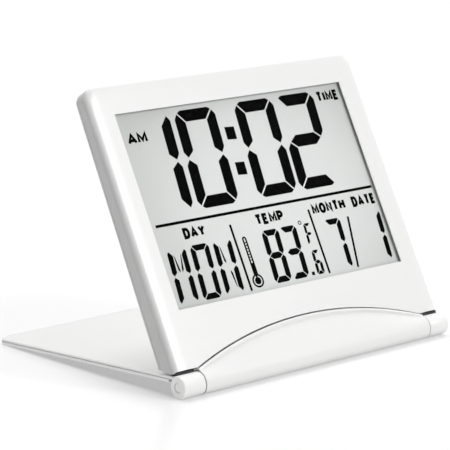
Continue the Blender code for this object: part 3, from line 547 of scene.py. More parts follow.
# ---------------------------------------------------------------- frames and pieces
@dataclass(frozen=True)
class Frames:
    """The stand's, the clock's and the rear's frames, from the hinge and three slopes."""

    hinge: Vector
    face_lean: float = math.radians(26.74)
    cover_slope: float = math.radians(2.86505)
    back_tilt: float = math.radians(1.29926)
    back_foot: Point = (4.4014 * MM, -6.95 * MM)

    @property
    def clock(self) -> Matrix:
        """Y up the clock's face, Z out of it."""
        turn = Matrix.Rotation(math.pi / 2 - self.face_lean, 4, "X")
        return Matrix.Translation(self.hinge) @ turn

    @property
    def stand(self) -> Matrix:
        """Y along the cover away from the hinge, Z square to the cover."""
        return Matrix.Translation(self.hinge) @ Matrix.Rotation(-self.cover_slope, 4, "X")

    @property
    def rear(self) -> Matrix:
        """Y up the clock's back, Z into the clock."""
        up, out = self.back_foot
        shift = Matrix.Translation((0.0, up, out))
        return self.clock @ shift @ Matrix.Rotation(self.back_tilt, 4, "X")


class Workshop:
    """What every sub-assembly uses: the CAD nodes, the frames and the finishes."""

    def __init__(self, frame: dict[str, Any]) -> None:
        """Read the frame and make each finish once."""
        self.nodes = frame["nodes"]
        hinge = next(joint for joint in frame["joints"] if joint["name"] == "clock_hinge")
        self.frames = Frames(Vector(hinge["pos_m"]))
        self.slots = {row["node"]: row["material_slot"] for row in frame["record"]["subparts"]}
        low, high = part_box("buzzer_disc")
        makers = {
            Slot.WHITE: MouldedPlastic("white_moulded", (0.79, 0.79, 0.785), 0.3),
            Slot.WINDOW: ClearWindow(),
            Slot.GLASS: DisplayGlass(self.frames.clock),
            Slot.FILM: ReflectorFilm(),
            Slot.GREY: MouldedPlastic("grey_moulded", (0.3, 0.31, 0.32), 0.5),
            Slot.RUBBER: MouldedRubber(),
            Slot.BOARD: CircuitBoard(self.frames.clock),
            Slot.RESIN: PottingResin(),
            Slot.STEEL: BrushedMetal("plated_steel", (0.62, 0.62, 0.61), (0.45, 0.44, 0.42)),
            Slot.CELL: BrushedMetal("cell_nickel", (0.7, 0.7, 0.68), (0.58, 0.57, 0.54), 0.24),
            Slot.BRASS: BuzzerDisc((low + high) / 2),
        }
        self.finishes = {slot: maker.material() for slot, maker in makers.items()}
        self.dark = DarkenedCrystal().material()

    def dress_frame(self) -> None:
        """Give every CAD node the finish of its slot."""
        for name, node in self.nodes.items():
            node.data.materials.clear()
            node.data.materials.append(self.finishes[Slot(self.slots[name])])
        log.info("dressed %d carried pieces", len(self.nodes))

    def copy_of(self, node: str) -> bmesh.types.BMesh:
        """Return a node's mesh with its points merged and its flat faces whole."""
        bm = bmesh.new()
        bm.from_mesh(self.nodes[node].data)
        bmesh.ops.remove_doubles(bm, verts=bm.verts, dist=0.002 * MM)
        flat = math.radians(0.4)
        bmesh.ops.dissolve_limit(bm, angle_limit=flat, verts=bm.verts, edges=bm.edges)
        return bm

    def add(
        self,
        name: str,
        bm: bmesh.types.BMesh,
        slot: Slot,
        body: Body | str,
        frame: Matrix | None = None,
        replaces: Iterable[str] = (),
        material: bpy.types.Material | None = None,
        sharp: float = 32.0,
    ) -> bpy.types.Object:
        """Make a finished piece from a bmesh.

        Args:
            name: The piece's name.
            bm: Its shape, which is used up.
            slot: The record's slot that it takes its finish from.
            body: The CAD body that it rides on.
            frame: The frame that the shape is in, or None where it is the part's own.
            replaces: The CAD nodes that it stands for.
            material: Its material, where it isn't the slot's.
            sharp: Edges sharper than this many degrees stay crisp.

        Returns:
            The piece.
        """
        if frame is not None:
            bm.transform(frame)
        mesh = bpy.data.meshes.new(name)
        bm.to_mesh(mesh)
        bm.free()
        carried = mesh.attributes.get("custom_normal")
        if carried is not None:
            mesh.attributes.remove(carried)
        mesh.shade_smooth()
        mesh.set_sharp_from_angle(angle=math.radians(sharp))
        mesh.materials.append(material or self.finishes[slot])
        piece = bpy.data.objects.new(name, mesh)
        bpy.context.scene.collection.objects.link(piece)
        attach(piece, body.value if isinstance(body, Body) else body)
        if replaces:
            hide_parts(*replaces)
        log.info("%s: %d faces", name, len(mesh.polygons))
        return piece


def smooth_step(value: float) -> float:
    """Return a smooth step from 0 to 1, held outside that range."""
    held = min(max(value, 0.0), 1.0)
    return held * held * (3 - 2 * held)


def hollow(bm: bmesh.types.BMesh, face: bmesh.types.BMFace, line: float) -> None:
    """Turn a flat face into a line of this width along its outline."""
    bmesh.ops.inset_individual(bm, faces=[face], thickness=line, use_even_offset=True)
    bmesh.ops.delete(bm, geom=[face], context="FACES")


def raise_flat(bm: bmesh.types.BMesh, faces: Sequence[Any], depth: float) -> None:
    """Give flat faces a thickness along +Z, as closed solids."""
    raised = bmesh.ops.extrude_face_region(bm, geom=list(faces), use_keep_orig=True)["geom"]
    top = [item for item in raised if isinstance(item, bmesh.types.BMVert)]
    bmesh.ops.translate(bm, vec=(0, 0, depth), verts=top)
    bmesh.ops.recalc_face_normals(bm, faces=bm.faces)


# ---------------------------------------------------------------- clock body
@dataclass(frozen=True)
class RolledSides:
    """How the broad side of a plate falls away, and is rounded, along its left and right edges."""

    half_width: float
    top: float
    corner: float
    level: float
    edge: float
    radius: float
    width: float
    drop: float
    near: float = -1.0
    fade: float = 1e-6
    cuts: int = 20
    crowding: float = 1.7
    fade_rows: int = 6

    def arc(self, inset: float, radius: float) -> float:
        """Return how far a rounded edge has fallen, this far in from the outline."""
        short = max(0.0, radius - inset)
        return radius - math.sqrt(max(0.0, radius**2 - short**2))

    def shape(self, bm: bmesh.types.BMesh) -> None:
        """Cut both sides into strips, closer towards the edge, and let them fall along a curve."""
        inside = self.half_width - self.width
        planes = []
        for step in range(1, self.cuts + 1):
            x = self.half_width - self.width * (step / self.cuts) ** self.crowding
            planes += [((side * x, 0, 0), (1, 0, 0)) for side in (-1, 1)]
        straight = self.top - self.corner
        rows = [straight - HAIR, straight - self.corner, self.near + self.fade]
        rows += [self.near + self.fade * step / self.fade_rows for step in range(self.fade_rows)]
        planes += [((0, y, 0), (0, 1, 0)) for y in rows if y > 0]
        for place, way in planes:
            bmesh.ops.bisect_plane(
                bm,
                geom=bm.verts[:] + bm.edges[:] + bm.faces[:],
                dist=0.001 * MM,
                plane_co=place,
                plane_no=way,
            )
        for vert in bm.verts:
            x, y, z = vert.co
            if z < self.level - self.edge - HAIR or y < self.near or abs(x) < inside:
                continue
            share = (abs(x) - inside) / self.width
            fall = self.drop * share**2 * smooth_step((y - self.near) / self.fade)
            out = Vector((abs(x) - self.half_width, y - self.top)) + Vector((1, 1)) * self.corner
            if out.y <= 0:
                inset = self.half_width - abs(x)
                vert.co.z = self.level - fall - self.arc(inset, self.radius)
            else:
                reach = out.length if out.x > 0 else out.y
                turned = smooth_step(max(0.0, out.x) / reach)
                radius = self.edge + (self.radius - self.edge) * turned
                inset = self.corner - reach
                vert.co.z = z - fall - self.arc(inset, radius) + self.arc(inset, self.edge)


@dataclass
class FaceHousing:
    """Front housing: the CAD's walls, bosses and openings, with its sides rolled back."""

    sides: RolledSides = RolledSides(
        half_width=57.0 * MM,
        top=99.2 * MM,
        corner=4.0 * MM,
        level=1.1 * MM,
        edge=0.9 * MM,
        radius=1.9 * MM,
        width=5.6 * MM,
        drop=0.6 * MM,
    )
    foot: float = 4.41 * MM
    foot_end: float = 48.3 * MM
    foot_rise: float = 0.35 * MM

    def build(self, shop: Workshop) -> None:
        """Copy the housing, slant the front of its foot by the knuckles, and roll its sides."""
        bm = shop.copy_of("front_bezel")
        bm.transform(shop.frames.clock.inverted())
        for vert in bm.verts:
            ahead = vert.co.z > self.sides.level - self.sides.edge - HAIR
            if ahead and vert.co.y < self.foot and abs(vert.co.x) > self.foot_end:
                vert.co.y += self.foot_rise
        self.sides.shape(bm)
        frame = shop.frames.clock
        shop.add("face_housing", bm, Slot.WHITE, Body.CLOCK, frame, ["front_bezel"], sharp=40)


@dataclass
class ArchedCover:
    """Arched hinge cover in one piece with the barrel: a lip along its edge, and a soft cove."""

    barrel_radius: float = 3.7 * MM
    barrel_half: float = 48.25 * MM
    joint: float = 48.4 * MM
    rise: float = 9.05 * MM
    foot: float = 4.3514 * MM
    seam: float = 0.5 * MM
    edge: float = 1.6 * MM
    bulge: float = math.radians(10.0)
    back: float = 2.2 * MM
    foot_height: float = 4.47 * MM
    cover_to_face: float = math.radians(23.87495)
    lip: float = 0.8 * MM
    cove_depth: float = 0.7 * MM
    cove_width: float = 0.95 * MM
    brink: float = 0.3 * MM
    brink_drop: float = 0.22 * MM
    chamfer: float = 0.3 * MM
    heel: Point = (0.4, -0.9)
    stations: int = 96
    front_points: int = 30
    barrel_points: int = 40

    def height(self, x: float) -> float:
        """Return the height of the cover's edge at x."""
        radius = (self.joint**2 + self.rise**2) / (2 * self.rise)
        crown = self.foot + self.rise
        return crown - radius + math.sqrt(radius**2 - x**2) - self.seam / 2

    def section(self, x: float) -> list[Vector]:
        """Return the ring of points round the cover and its barrel at x.

        Args:
            x: The place along the hinge.

        Returns:
            The points, from the front edge down round the barrel and up the back.
        """
        edge = Vector((self.height(x), self.edge))
        reach = edge.length
        angle = math.atan2(edge.y, edge.x) + math.acos(self.barrel_radius / reach) + self.bulge
        tangent = Vector((math.cos(angle), math.sin(angle))) * self.barrel_radius
        along = Vector((math.sin(angle), -math.cos(angle)))
        span = (edge - tangent).length
        control = tangent + along * span / 2
        depth = self.cove_depth * min(1.0, span / (6 * MM))
        ring = []
        for i in range(self.front_points):
            t = (i / self.front_points) ** 1.8
            point = edge * (1 - t) ** 2 + control * 2 * t * (1 - t) + tangent * t**2
            slope = (control - edge) * (1 - t) + (tangent - control) * t
            normal = Vector((-slope.y, slope.x)).normalized()
            if normal.y < 0:
                normal.negate()
            far = (point - edge).length
            sunk = smooth_step((far - self.lip) / self.cove_width * 1.6)
            fade = smooth_step((span - far) / (0.75 * span))
            rounded = self.brink_drop * max(0.0, 1 - far / self.brink) ** 2
            ring.append(point - normal * (depth * sunk * fade + rounded))
        heel = math.atan2(self.heel[1], self.heel[0]) + 2 * math.pi
        for i in range(self.barrel_points + 1):
            turn = angle + (heel - angle) * i / self.barrel_points
            ring.append(Vector((math.cos(turn), math.sin(turn))) * self.barrel_radius)
        lean = self.cover_to_face
        neck_top = (self.foot_height + self.back * math.sin(lean)) / math.cos(lean)
        ring.append(Vector((min(edge.x - self.chamfer, neck_top), -self.back)))
        ring.append(Vector((edge.x, self.chamfer - self.back)))
        return [Vector((x, point.x, point.y)) for point in ring]

    def build(self, shop: Workshop) -> None:
        """Draw the ring along the hinge, and close both ends."""
        bm = bmesh.new()
        first = [bm.verts.new(point) for point in self.section(-self.barrel_half)]
        ring = [bm.edges.new((first[i - 1], first[i])) for i in range(len(first))]
        bmesh.ops.contextual_create(bm, geom=ring)
        verts, edges = first, ring
        for station in range(1, self.stations + 1):
            x = self.barrel_half * (2 * station / self.stations - 1)
            drawn = bmesh.ops.extrude_edge_only(bm, edges=edges)["geom"]
            edges = [item for item in drawn if isinstance(item, bmesh.types.BMEdge)]
            fresh = {item for item in drawn if isinstance(item, bmesh.types.BMVert)}
            verts = [
                next(twin for edge in vert.link_edges if (twin := edge.other_vert(vert)) in fresh)
                for vert in verts
            ]
            edges = [edge for edge in edges if all(vert in fresh for vert in edge.verts)]
            for vert, point in zip(verts, self.section(x)):
                vert.co = point
        bmesh.ops.contextual_create(bm, geom=edges)
        bmesh.ops.recalc_face_normals(bm, faces=bm.faces)
        frame = shop.frames.clock
        shop.add("arched_cover", bm, Slot.WHITE, Body.CLOCK, frame, ["hinge_crescent"])


# ---------------------------------------------------------------- display
class Stroke(Enum):
    """The strokes of a segment figure, as they are lettered on a data sheet."""

    TOP = "a"
    RIGHT_HIGH = "b"
    RIGHT_LOW = "c"
    FOOT = "d"
    LEFT_LOW = "e"
    LEFT_HIGH = "f"
    MIDDLE = "g"
    SLANT_HIGH_LEFT = "h"
    SLANT_HIGH_RIGHT = "k"
    SLANT_LOW_RIGHT = "m"


@dataclass(frozen=True)
class SegmentFigure:
    """A figure made of mitred strokes."""

    left: float
    foot: float
    width: float
    height: float
    stroke: float
    gap: float
    lit: str

    def outlines(self) -> dict[Stroke, list[Point]]:
        """Return each stroke's outline, before the gaps are taken out."""
        g = self.gap / 2
        left, right = self.left - g, self.left + self.width + g
        low, high = self.foot - g, self.foot + self.height + g
        mid = (low + high) / 2 + 0.01 * self.height
        t = self.stroke + 2 * g
        c = 0.68 * self.stroke + g
        half = 0.5 * self.stroke + 1.4 * g
        tip = 0.36 * t
        in_l, in_r, in_t, in_b = left + t, right - t, high - t, low + t
        a_l, b_l = (left, high - c), (left + c, high)
        a_r, b_r = (right, high - c), (right - c, high)
        m_l, m_r = (left + 0.48 * c, high - 0.32 * c), (right - 0.48 * c, high - 0.32 * c)
        d_l, e_l = (left, low + c), (left + c, low)
        d_r, e_r = (right, low + c), (right - c, low)
        n_l, n_r = (left + 0.48 * c, low + 0.32 * c), (right - 0.48 * c, low + 0.32 * c)
        t_l, t_r = (left + tip, mid), (right - tip, mid)
        outer = 0.5 * t
        w, h = self.width, self.height
        o_t, o_b, i_t, i_b = mid + outer, mid - outer, mid + half, mid - half
        wedge = ((0.0, 0.06), (0.02, 0.2), (0.06, 0.39), (0.17, 0.46), (0.2, 0.4), (0.09, 0.15))
        return {
            Stroke.TOP: [b_l, m_l, (in_l, in_t), (in_r, in_t), m_r, b_r],
            Stroke.LEFT_HIGH: [m_l, a_l, (left, o_t), t_l, (in_l, i_t), (in_l, in_t)],
            Stroke.LEFT_LOW: [t_l, (left, o_b), d_l, n_l, (in_l, in_b), (in_l, i_b)],
            Stroke.RIGHT_HIGH: [m_r, (in_r, in_t), (in_r, i_t), t_r, (right, o_t), a_r],
            Stroke.RIGHT_LOW: [t_r, (in_r, i_b), (in_r, in_b), n_r, d_r, (right, o_b)],
            Stroke.FOOT: [n_l, e_l, e_r, n_r, (in_r, in_b), (in_l, in_b)],
            Stroke.MIDDLE: [t_l, (in_l, i_b), (in_r, i_b), t_r, (in_r, i_t), (in_l, i_t)],
            Stroke.SLANT_HIGH_LEFT: [(in_l + u * w, high - v * h) for u, v in wedge],
            Stroke.SLANT_HIGH_RIGHT: [(in_r - u * w, high - v * h) for u, v in reversed(wedge)],
            Stroke.SLANT_LOW_RIGHT: [(in_r - u * w, low + v * h) for u, v in wedge],
        }

    def draw(self, bm: bmesh.types.BMesh) -> None:
        """Add the lit strokes as flat faces, with the gap between them taken out."""
        outlines = self.outlines()
        middle = self.foot + self.height / 2
        faces = []
        for letter in self.lit:
            corners = [
                bm.verts.new((x + SLANT * (y - middle), y, 0.0))
                for x, y in outlines[Stroke(letter)]
            ]
            faces.append(bm.faces.new(corners))
        bm.normal_update()
        rims = bmesh.ops.inset_individual(
            bm, faces=faces, thickness=self.gap / 2, use_even_offset=True
        )["faces"]
        bmesh.ops.delete(bm, geom=rims, context="FACES")


ROUND = [(0.5 + 0.5 * math.cos(a), 0.5 + 0.5 * math.sin(a)) for a in
         (math.pi * i / 8 for i in range(16))]
BOWL = [(0.5 + 0.5 * math.sin(a), 0.5 + 0.5 * math.cos(a)) for a in
        (math.pi * i / 8 for i in range(9))]
LETTERS: dict[str, tuple[float, list[list[Point]]]] = {
    "A": (0.92, [[(0, 0), (0.5, 1), (1, 0)], [(0.22, 0.3), (0.78, 0.3)]]),
    "D": (0.82, [[(0, 0), (0, 1), *BOWL, (0, 0)]]),
    "E": (0.66, [[(1, 0), (0, 0), (0, 1), (1, 1)], [(0, 0.53), (0.88, 0.53)]]),
    "H": (0.78, [[(0, 0), (0, 1)], [(1, 0), (1, 1)], [(0, 0.53), (1, 0.53)]]),
    "I": (0.0, [[(0.5, 0), (0.5, 1)]]),
    "M": (0.96, [[(0, 0), (0, 1), (0.5, 0.22), (1, 1), (1, 0)]]),
    "N": (0.78, [[(0, 0), (0, 1), (1, 0), (1, 1)]]),
    "O": (0.88, [[*ROUND, ROUND[0]]]),
    "P": (0.7, [[(0, 0), (0, 1), *((x, 0.45 + 0.55 * y) for x, y in BOWL), (0, 0.45)]]),
    "T": (0.78, [[(0, 1), (1, 1)], [(0.5, 0), (0.5, 1)]]),
    "Y": (0.86, [[(0, 1), (0.5, 0.46), (1, 1)], [(0.5, 0), (0.5, 0.46)]]),
}


def ribbon(bm: bmesh.types.BMesh, points: Sequence[Point], width: float) -> None:
    """Add a line of even width along points, as flat faces.

    Args:
        bm: The mesh to add to.
        points: The middle line; it closes where its first and last points meet.
        width: The line's width.
    """
    line = [Vector(point) for point in points]
    closed = (line[0] - line[-1]).length < 1e-7
    if closed:
        line.pop()
    count = len(line)
    pairs = []
    for i, point in enumerate(line):
        ways = []
        if closed or i > 0:
            ways.append((point - line[i - 1]).normalized())
        if closed or i < count - 1:
            ways.append((line[(i + 1) % count] - point).normalized())
        sides = [Vector((-way.y, way.x)) for way in ways]
        side = sum(sides, Vector((0.0, 0.0)))
        side = side.normalized() if side.length > 0.2 else sides[0]
        reach = width / 2 / max(0.6, side.dot(sides[0]))
        pairs.append([bm.verts.new((*(point + side * reach * sign), 0.0)) for sign in (-1, 1)])
    if closed:
        pairs.append(pairs[0])
    for (a, b), (c, d) in zip(pairs, pairs[1:]):
        bm.faces.new((a, c, d, b))


@dataclass(frozen=True)
class Label:
    """A printed word in bold, narrow capitals, fitted to a box."""

    word: str
    left: float
    right: float
    foot: float
    height: float = 3.8 * MM
    stroke: float = 1.04 * MM
    space: float = 0.22 * MM

    def draw(self, bm: bmesh.types.BMesh) -> None:
        """Add the word as flat faces."""
        shapes = [LETTERS[letter] for letter in self.word]
        total = sum(wide for wide, _ in shapes)
        fixed = self.stroke * len(shapes) + self.space * (len(shapes) - 1)
        scale = (self.right - self.left - fixed) / total
        tall = self.height - self.stroke
        x = self.left + self.stroke / 2
        for wide, lines in shapes:
            for line in lines:
                y = self.foot + self.stroke / 2
                points = [(x + u * wide * scale, y + v * tall) for u, v in line]
                ribbon(bm, points, self.stroke)
            x += wide * scale + self.stroke + self.space


@dataclass(frozen=True)
class Bar:
    """A straight printed stroke between two points."""

    start: Point
    end: Point
    width: float

    def draw(self, bm: bmesh.types.BMesh) -> None:
        """Add the stroke as a flat face."""
        start, end = Vector(self.start), Vector(self.end)
        side = (end - start).orthogonal().normalized() * self.width / 2
        corners = (start - side, end - side, end + side, start + side)
        bm.faces.new([bm.verts.new((*corner, 0.0)) for corner in corners])


@dataclass(frozen=True)
class Ring:
    """A printed ring or, with no inner radius, a disc."""

    centre: Point
    radius: float
    inner: float = 0.0
    segments: int = 32

    def draw(self, bm: bmesh.types.BMesh) -> None:
        """Add the ring as flat faces."""
        made = bmesh.ops.create_circle(
            bm,
            cap_ends=True,
            segments=self.segments,
            radius=self.radius,
            matrix=Matrix.Translation((*self.centre, 0.0)),
        )
        face = next(iter(made["verts"][0].link_faces))
        if self.inner > 0:
            hollow(bm, face, self.radius - self.inner)


@dataclass
class Thermometer:
    """The outlined thermometer beside the temperature."""

    centre: float = -13.1 * MM
    top: float = 43.0 * MM
    bulb_y: float = 27.5 * MM
    bulb: float = 2.3 * MM
    tube: float = 1.2 * MM
    line: float = 0.62 * MM
    fill: float = 1.25 * MM
    fill_top: float = 33.6 * MM
    column: float = 0.7 * MM
    ticks: int = 7
    tick_size: Point = (1.25 * MM, 0.34 * MM)
    bulb_steps: int = 28
    cap_steps: int = 12

    def draw(self, bm: bmesh.types.BMesh) -> None:
        """Add the outline, the liquid and the scale as flat faces."""
        Ring((self.centre, self.bulb_y), self.fill).draw(bm)
        Bar((self.centre, self.bulb_y), (self.centre, self.fill_top), self.column).draw(bm)
        outline = bmesh.new()
        reach = self.tube - self.line / 2
        start = math.asin(reach / self.bulb)
        points = []
        for i in range(self.bulb_steps + 1):
            turn = start + (2 * math.pi - 2 * start) * i / self.bulb_steps
            points.append((self.bulb * math.sin(turn), self.bulb_y + self.bulb * math.cos(turn)))
        for i in range(self.cap_steps + 1):
            turn = math.pi * (1 - i / self.cap_steps)
            points.append((reach * math.cos(turn), self.top - self.tube + reach * math.sin(turn)))
        face = outline.faces.new([outline.verts.new((self.centre + x, y, 0.0)) for x, y in points])
        outline.normal_update()
        hollow(outline, face, self.line)
        mesh = bpy.data.meshes.new("thermometer_outline")
        outline.to_mesh(mesh)
        outline.free()
        bm.from_mesh(mesh)
        bpy.data.meshes.remove(mesh)
        low, high = self.fill_top + 1.0 * MM, self.top - 2.4 * MM
        for tick in range(self.ticks):
            y = low + (high - low) * tick / (self.ticks - 1)
            x = self.centre - reach
            Bar((x, y), (x + self.tick_size[0], y), self.tick_size[1]).draw(bm)


@dataclass
class DisplayFace:
    """What the display shows: the time, the day, the temperature and the date."""

    plane: float = -0.05 * MM
    thickness: float = 0.02 * MM
    big: tuple[float, ...] = (54.2, 16.85, 33.5, 4.0, 0.5)
    day: tuple[float, ...] = (24.9, 7.5, 18.2, 1.95, 0.28)
    warm: tuple[float, ...] = (25.3, 7.2, 18.0, 2.05, 0.26)
    date: tuple[float, ...] = (25.1, 7.2, 17.7, 1.95, 0.28)
    tenth: tuple[float, ...] = (25.3, 3.3, 8.3, 1.15, 0.16)
    degree: tuple[float, ...] = (35.6, 3.0, 7.4, 1.0, 0.14)
    layout: dict[str, list[tuple[float, str]]] = field(
        default_factory=lambda: {
            "big": [(-44.35, "bc"), (-25.6, "abcdef"), (-0.4, "abcdef"), (17.7, "abged")],
            "day": [(-45.2, "fehkbc"), (-35.9, "abcdef"), (-26.6, "fehmbc")],
            "warm": [(-6.0, "abcdefg"), (1.6, "abcdg")],
            "date": [(21.1, "abc"), (39.3, "bc")],
            "tenth": [(12.0, "acdefg")],
            "degree": [(12.4, "aefg")],
        }
    )

    def figures(self) -> list[SegmentFigure]:
        """Return every figure of the display."""
        made = []
        for kind, places in self.layout.items():
            foot, width, height, stroke, gap = (size * MM for size in getattr(self, kind))
            for left, lit in places:
                made.append(SegmentFigure(left * MM, foot, width, height, stroke, gap, lit))
        return made

    def labels(self) -> list[Label]:
        """Return the printed words."""
        rows = (
            ("AM", -45.5, -37.6, 78.8),
            ("TIME", 36.8, 46.7, 83.4),
            ("DAY", -36.1, -27.2, 45.4),
            ("TEMP", -6.2, 5.8, 45.3),
            ("MONTH", 18.4, 33.2, 45.2),
            ("DATE", 36.4, 47.1, 45.2),
        )
        return [Label(word, *(size * MM for size in place)) for word, *place in rows]

    def marks(self) -> list[Bar | Ring]:
        """Return the colon, the dividing lines, the point and the degree sign."""
        reach = 2.2
        lean = SLANT * reach
        marks: list[Bar | Ring] = []
        for x, y in ((-4.2, 77.6), (-4.75, 65.25)):
            low = ((x - lean) * MM, (y - reach) * MM)
            high = ((x + lean) * MM, (y + reach) * MM)
            marks.append(Bar(low, high, 3.95 * MM))
        lines = (
            ((-45.6, 51.2), (47.4, 51.2), 0.95),
            ((-16.85, 24.7), (-16.85, 47.4), 0.85),
            ((16.9, 24.9), (16.9, 47.4), 0.85),
            ((29.7, 24.9), (32.6, 42.5), 0.85),
            ((10.05, 25.4), (10.15, 26.6), 1.2),
        )
        for (x1, y1), (x2, y2), width in lines:
            marks.append(Bar((x1 * MM, y1 * MM), (x2 * MM, y2 * MM), width * MM))
        marks.append(Ring((11.5 * MM, 43.6 * MM), 0.75 * MM, 0.42 * MM, 20))
        return marks

    def build(self, shop: Workshop) -> None:
        """Draw each group as one thin solid on the display glass."""
        groups: dict[str, Iterable[Any]] = {
            "display_figures": self.figures(),
            "display_labels": self.labels(),
            "display_marks": self.marks(),
            "display_thermometer": [Thermometer()],
        }
        for name, drawn in groups.items():
            bm = bmesh.new()
            for item in drawn:
                item.draw(bm)
            bmesh.ops.remove_doubles(bm, verts=bm.verts, dist=1e-7)
            raise_flat(bm, bm.faces, self.thickness)
            bmesh.ops.translate(bm, vec=(0, 0, self.plane), verts=bm.verts)
            shop.add(
                name, bm, Slot.GLASS, Body.CLOCK, shop.frames.clock, material=shop.dark, sharp=20
            )


# ---------------------------------------------------------------- stand
@dataclass
class RefinedCopies:
    """CAD pieces that keep their shape and gain smooth rounds and crisp edges."""

    pieces: dict[str, str] = field(
        default_factory=lambda: {
            "cover_inner_panel": "cover_lining",
            "rear_shell": "rear_lid",
            "battery_door": "coin_door",
        }
    )

    def build(self, shop: Workshop) -> None:
        """Copy each piece with its points merged."""
        for node, name in self.pieces.items():
            body = body_of(shop.nodes[node])[0]
            shop.add(name, shop.copy_of(node), Slot(shop.slots[node]), body, replaces=[node])


@dataclass
class CoverSkin:
    """Outer skin of the cover with its knuckles: its top falls away softly along both sides."""

    sides: RolledSides = RolledSides(
        half_width=57.0 * MM,
        top=100.0 * MM,
        corner=3.5 * MM,
        level=3.3 * MM,
        edge=0.5 * MM,
        radius=0.5 * MM,
        width=2.2 * MM,
        drop=0.32 * MM,
        near=4.2 * MM,
        fade=8.0 * MM,
        cuts=12,
    )

    def build(self, shop: Workshop) -> None:
        """Copy the skin and roll its sides."""
        bm = shop.copy_of("cover_shell")
        bm.transform(shop.frames.stand.inverted())
        self.sides.shape(bm)
        frame = shop.frames.stand
        shop.add("cover_skin", bm, Slot.WHITE, Body.STAND, frame, ["cover_shell"], sharp=40)


@dataclass
class SlotShadePads:
    """Dark rubber blocks on the cover, just behind its knuckles and under the ends of the foot:
    painted shade, a dark thing put in the slots between the foot and the knuckles where there is
    only shadow.
    """

    inner: float = 48.9 * MM
    outer: float = 56.3 * MM
    near: float = 1.3 * MM
    far: float = 4.2 * MM
    low: float = 3.25 * MM
    high: float = 4.2 * MM
    corner: float = 0.4 * MM

    def build(self, shop: Workshop) -> None:
        """Make both pads as one piece."""
        bm = bmesh.new()
        size = (self.outer - self.inner, self.far - self.near, self.high - self.low)
        x, y, z = self.outer + self.inner, self.far + self.near, self.high + self.low
        for side in (-1, 1):
            made = bmesh.ops.create_cube(bm, size=1.0)["verts"]
            bmesh.ops.scale(bm, vec=size, verts=made)
            bmesh.ops.translate(bm, vec=(side * x / 2, y / 2, z / 2), verts=made)
        upright = [e for e in bm.edges if abs(e.verts[0].co.z - e.verts[1].co.z) > 1e-6]
        bmesh.ops.bevel(
            bm,
            geom=upright,
            offset=self.corner,
            segments=5,
            profile=0.5,
            affect="EDGES",
            material=-1,
        )
        # painted shade: the dark rubber stands in for the shadow in the slots beside the knuckles
        shop.add("foot_pads", bm, Slot.RUBBER, Body.STAND, shop.frames.stand)


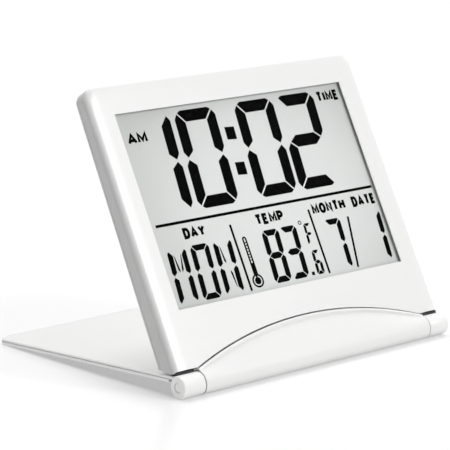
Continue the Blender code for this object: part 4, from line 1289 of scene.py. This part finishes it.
# ---------------------------------------------------------------- studio
@dataclass
class Studio:
    """Pale glossy floor, soft lights and the camera."""

    azimuth: float = math.radians(-39.09)
    elevation: float = math.radians(11.36)
    roll: float = math.radians(-1.81)
    distance: float = 0.69215
    lens: float = 172.45
    target: tuple[float, float, float] = (-0.01998, -0.028157, 0.04657)
    floor_size: float = 8.0

    def camera(self) -> None:
        """Place the camera."""
        a, e = self.azimuth, self.elevation
        back = Vector((math.sin(a) * math.cos(e), -math.cos(a) * math.cos(e), math.sin(e)))
        level = Vector((math.cos(a), math.sin(a), 0.0))
        up = back.cross(level)
        right = level * math.cos(self.roll) + up * math.sin(self.roll)
        up = back.cross(right)
        data = bpy.data.cameras.new("camera")
        data.lens = self.lens
        data.sensor_width = 36.0
        data.clip_start = 0.01
        data.clip_end = 50.0
        camera = bpy.data.objects.new("camera", data)
        turn = Matrix((right, up, back)).transposed().to_4x4()
        camera.matrix_world = Matrix.Translation(Vector(self.target) + back * self.distance) @ turn
        bpy.context.scene.collection.objects.link(camera)
        bpy.context.scene.camera = camera

    def floor(self) -> None:
        """Lay the floor."""
        bm = bmesh.new()
        bmesh.ops.create_grid(bm, x_segments=1, y_segments=1, size=self.floor_size / 2)
        mesh = bpy.data.meshes.new("floor")
        bm.to_mesh(mesh)
        bm.free()
        recipe = Recipe("pale_tabletop")
        haze = recipe.noise(recipe.place(), 6.0, 2.0)
        seen = recipe.node("ShaderNodeLightPath", output="Is Camera Ray")
        matte = recipe.surface(
            Base_Color=recipe.blend(haze, (0.55, 0.55, 0.55), (0.57, 0.57, 0.57)),
            Roughness=1.0,
            Specular_IOR_Level=0.0,
            Emission_Color=recipe.blend(seen, (0.27, 0.27, 0.27), (0.39, 0.39, 0.39)),
            Emission_Strength=1.0,
        )
        gloss = recipe.node(
            "ShaderNodeBsdfGlossy",
            sockets={"Color": (1.0, 1.0, 1.0), "Roughness": 0.22 + haze * 0.03},
        )
        mixed = recipe.node("ShaderNodeMixShader", sockets={0: 0.24, 1: matte, 2: gloss})
        mesh.materials.append(recipe.finish(mixed))
        floor = bpy.data.objects.new("floor", mesh)
        bpy.context.scene.collection.objects.link(floor)

    def light(
        self,
        name: str,
        direction: Sequence[float],
        spread: float,
        power: float,
        only: Sequence[str] = (),
    ) -> None:
        """Place a soft, even light far away.

        Args:
            name: The light's name.
            direction: The way to it from the clock.
            spread: How wide it looks, in degrees.
            power: Its strength.
            only: The pieces that it is shaded to fall on, where it isn't for all of them.
        """
        data = bpy.data.lights.new(name, "SUN")
        data.angle = math.radians(spread)
        data.energy = power
        light = bpy.data.objects.new(name, data)
        light.rotation_euler = Vector(direction).to_track_quat("Z", "Y").to_euler()
        if only:
            lit = bpy.data.collections.new(f"lit_by_{name}")
            for piece in only:
                lit.objects.link(bpy.data.objects[piece])
            light.light_linking.receiver_collection = lit
        bpy.context.scene.collection.objects.link(light)

    def world(self) -> None:
        """Make the surroundings white, with a light on the pieces that fades out to the left."""
        recipe = Recipe("studio", world=True)
        across, _, _ = recipe.split(recipe.node("ShaderNodeTexCoord", output="Generated"))
        fill = {"Color": (0.8, 0.8, 0.8), "Strength": across.band(-0.55, 0.35)}
        white = {"Color": (1.0, 1.0, 1.0), "Strength": 1.04}
        sockets = {
            0: recipe.node("ShaderNodeLightPath", output="Is Camera Ray"),
            1: recipe.node("ShaderNodeBackground", sockets=fill),
            2: recipe.node("ShaderNodeBackground", sockets=white),
        }
        mixed = recipe.node("ShaderNodeMixShader", sockets=sockets)
        bpy.context.scene.world = recipe.finish(mixed)

    def build(self) -> None:
        """Set up the whole studio."""
        self.camera()
        self.floor()
        self.world()
        self.light("key", (0.38, -0.74, 0.56), 14.0, 0.95)
        self.light("front", (0.25, -1.0, 0.1), 60.0, 0.5)
        self.light("top", (0.02, 0.32, 0.95), 45.0, 2.15)
        stand = ("cover_skin", "cover_lining", "hinge_pin_left")
        self.light("low", (-1.0, -0.15, 0.12), 20.0, 1.1, stand)
        bpy.context.scene.view_settings.view_transform = "Standard"


def main() -> None:
    """Load the frame and build every sub-assembly on it."""
    logging.basicConfig(level=logging.INFO, format="%(name)s: %(message)s")
    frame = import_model()
    shop = Workshop(frame)
    shop.dress_frame()
    assemblies = (
        FaceHousing(),
        ArchedCover(),
        DisplayFace(),
        CoverSkin(),
        SlotShadePads(),
        RefinedCopies(),
    )
    for assembly in assemblies:
        assembly.build(shop)
    Studio().build()


if __name__ == "__main__":
    main()
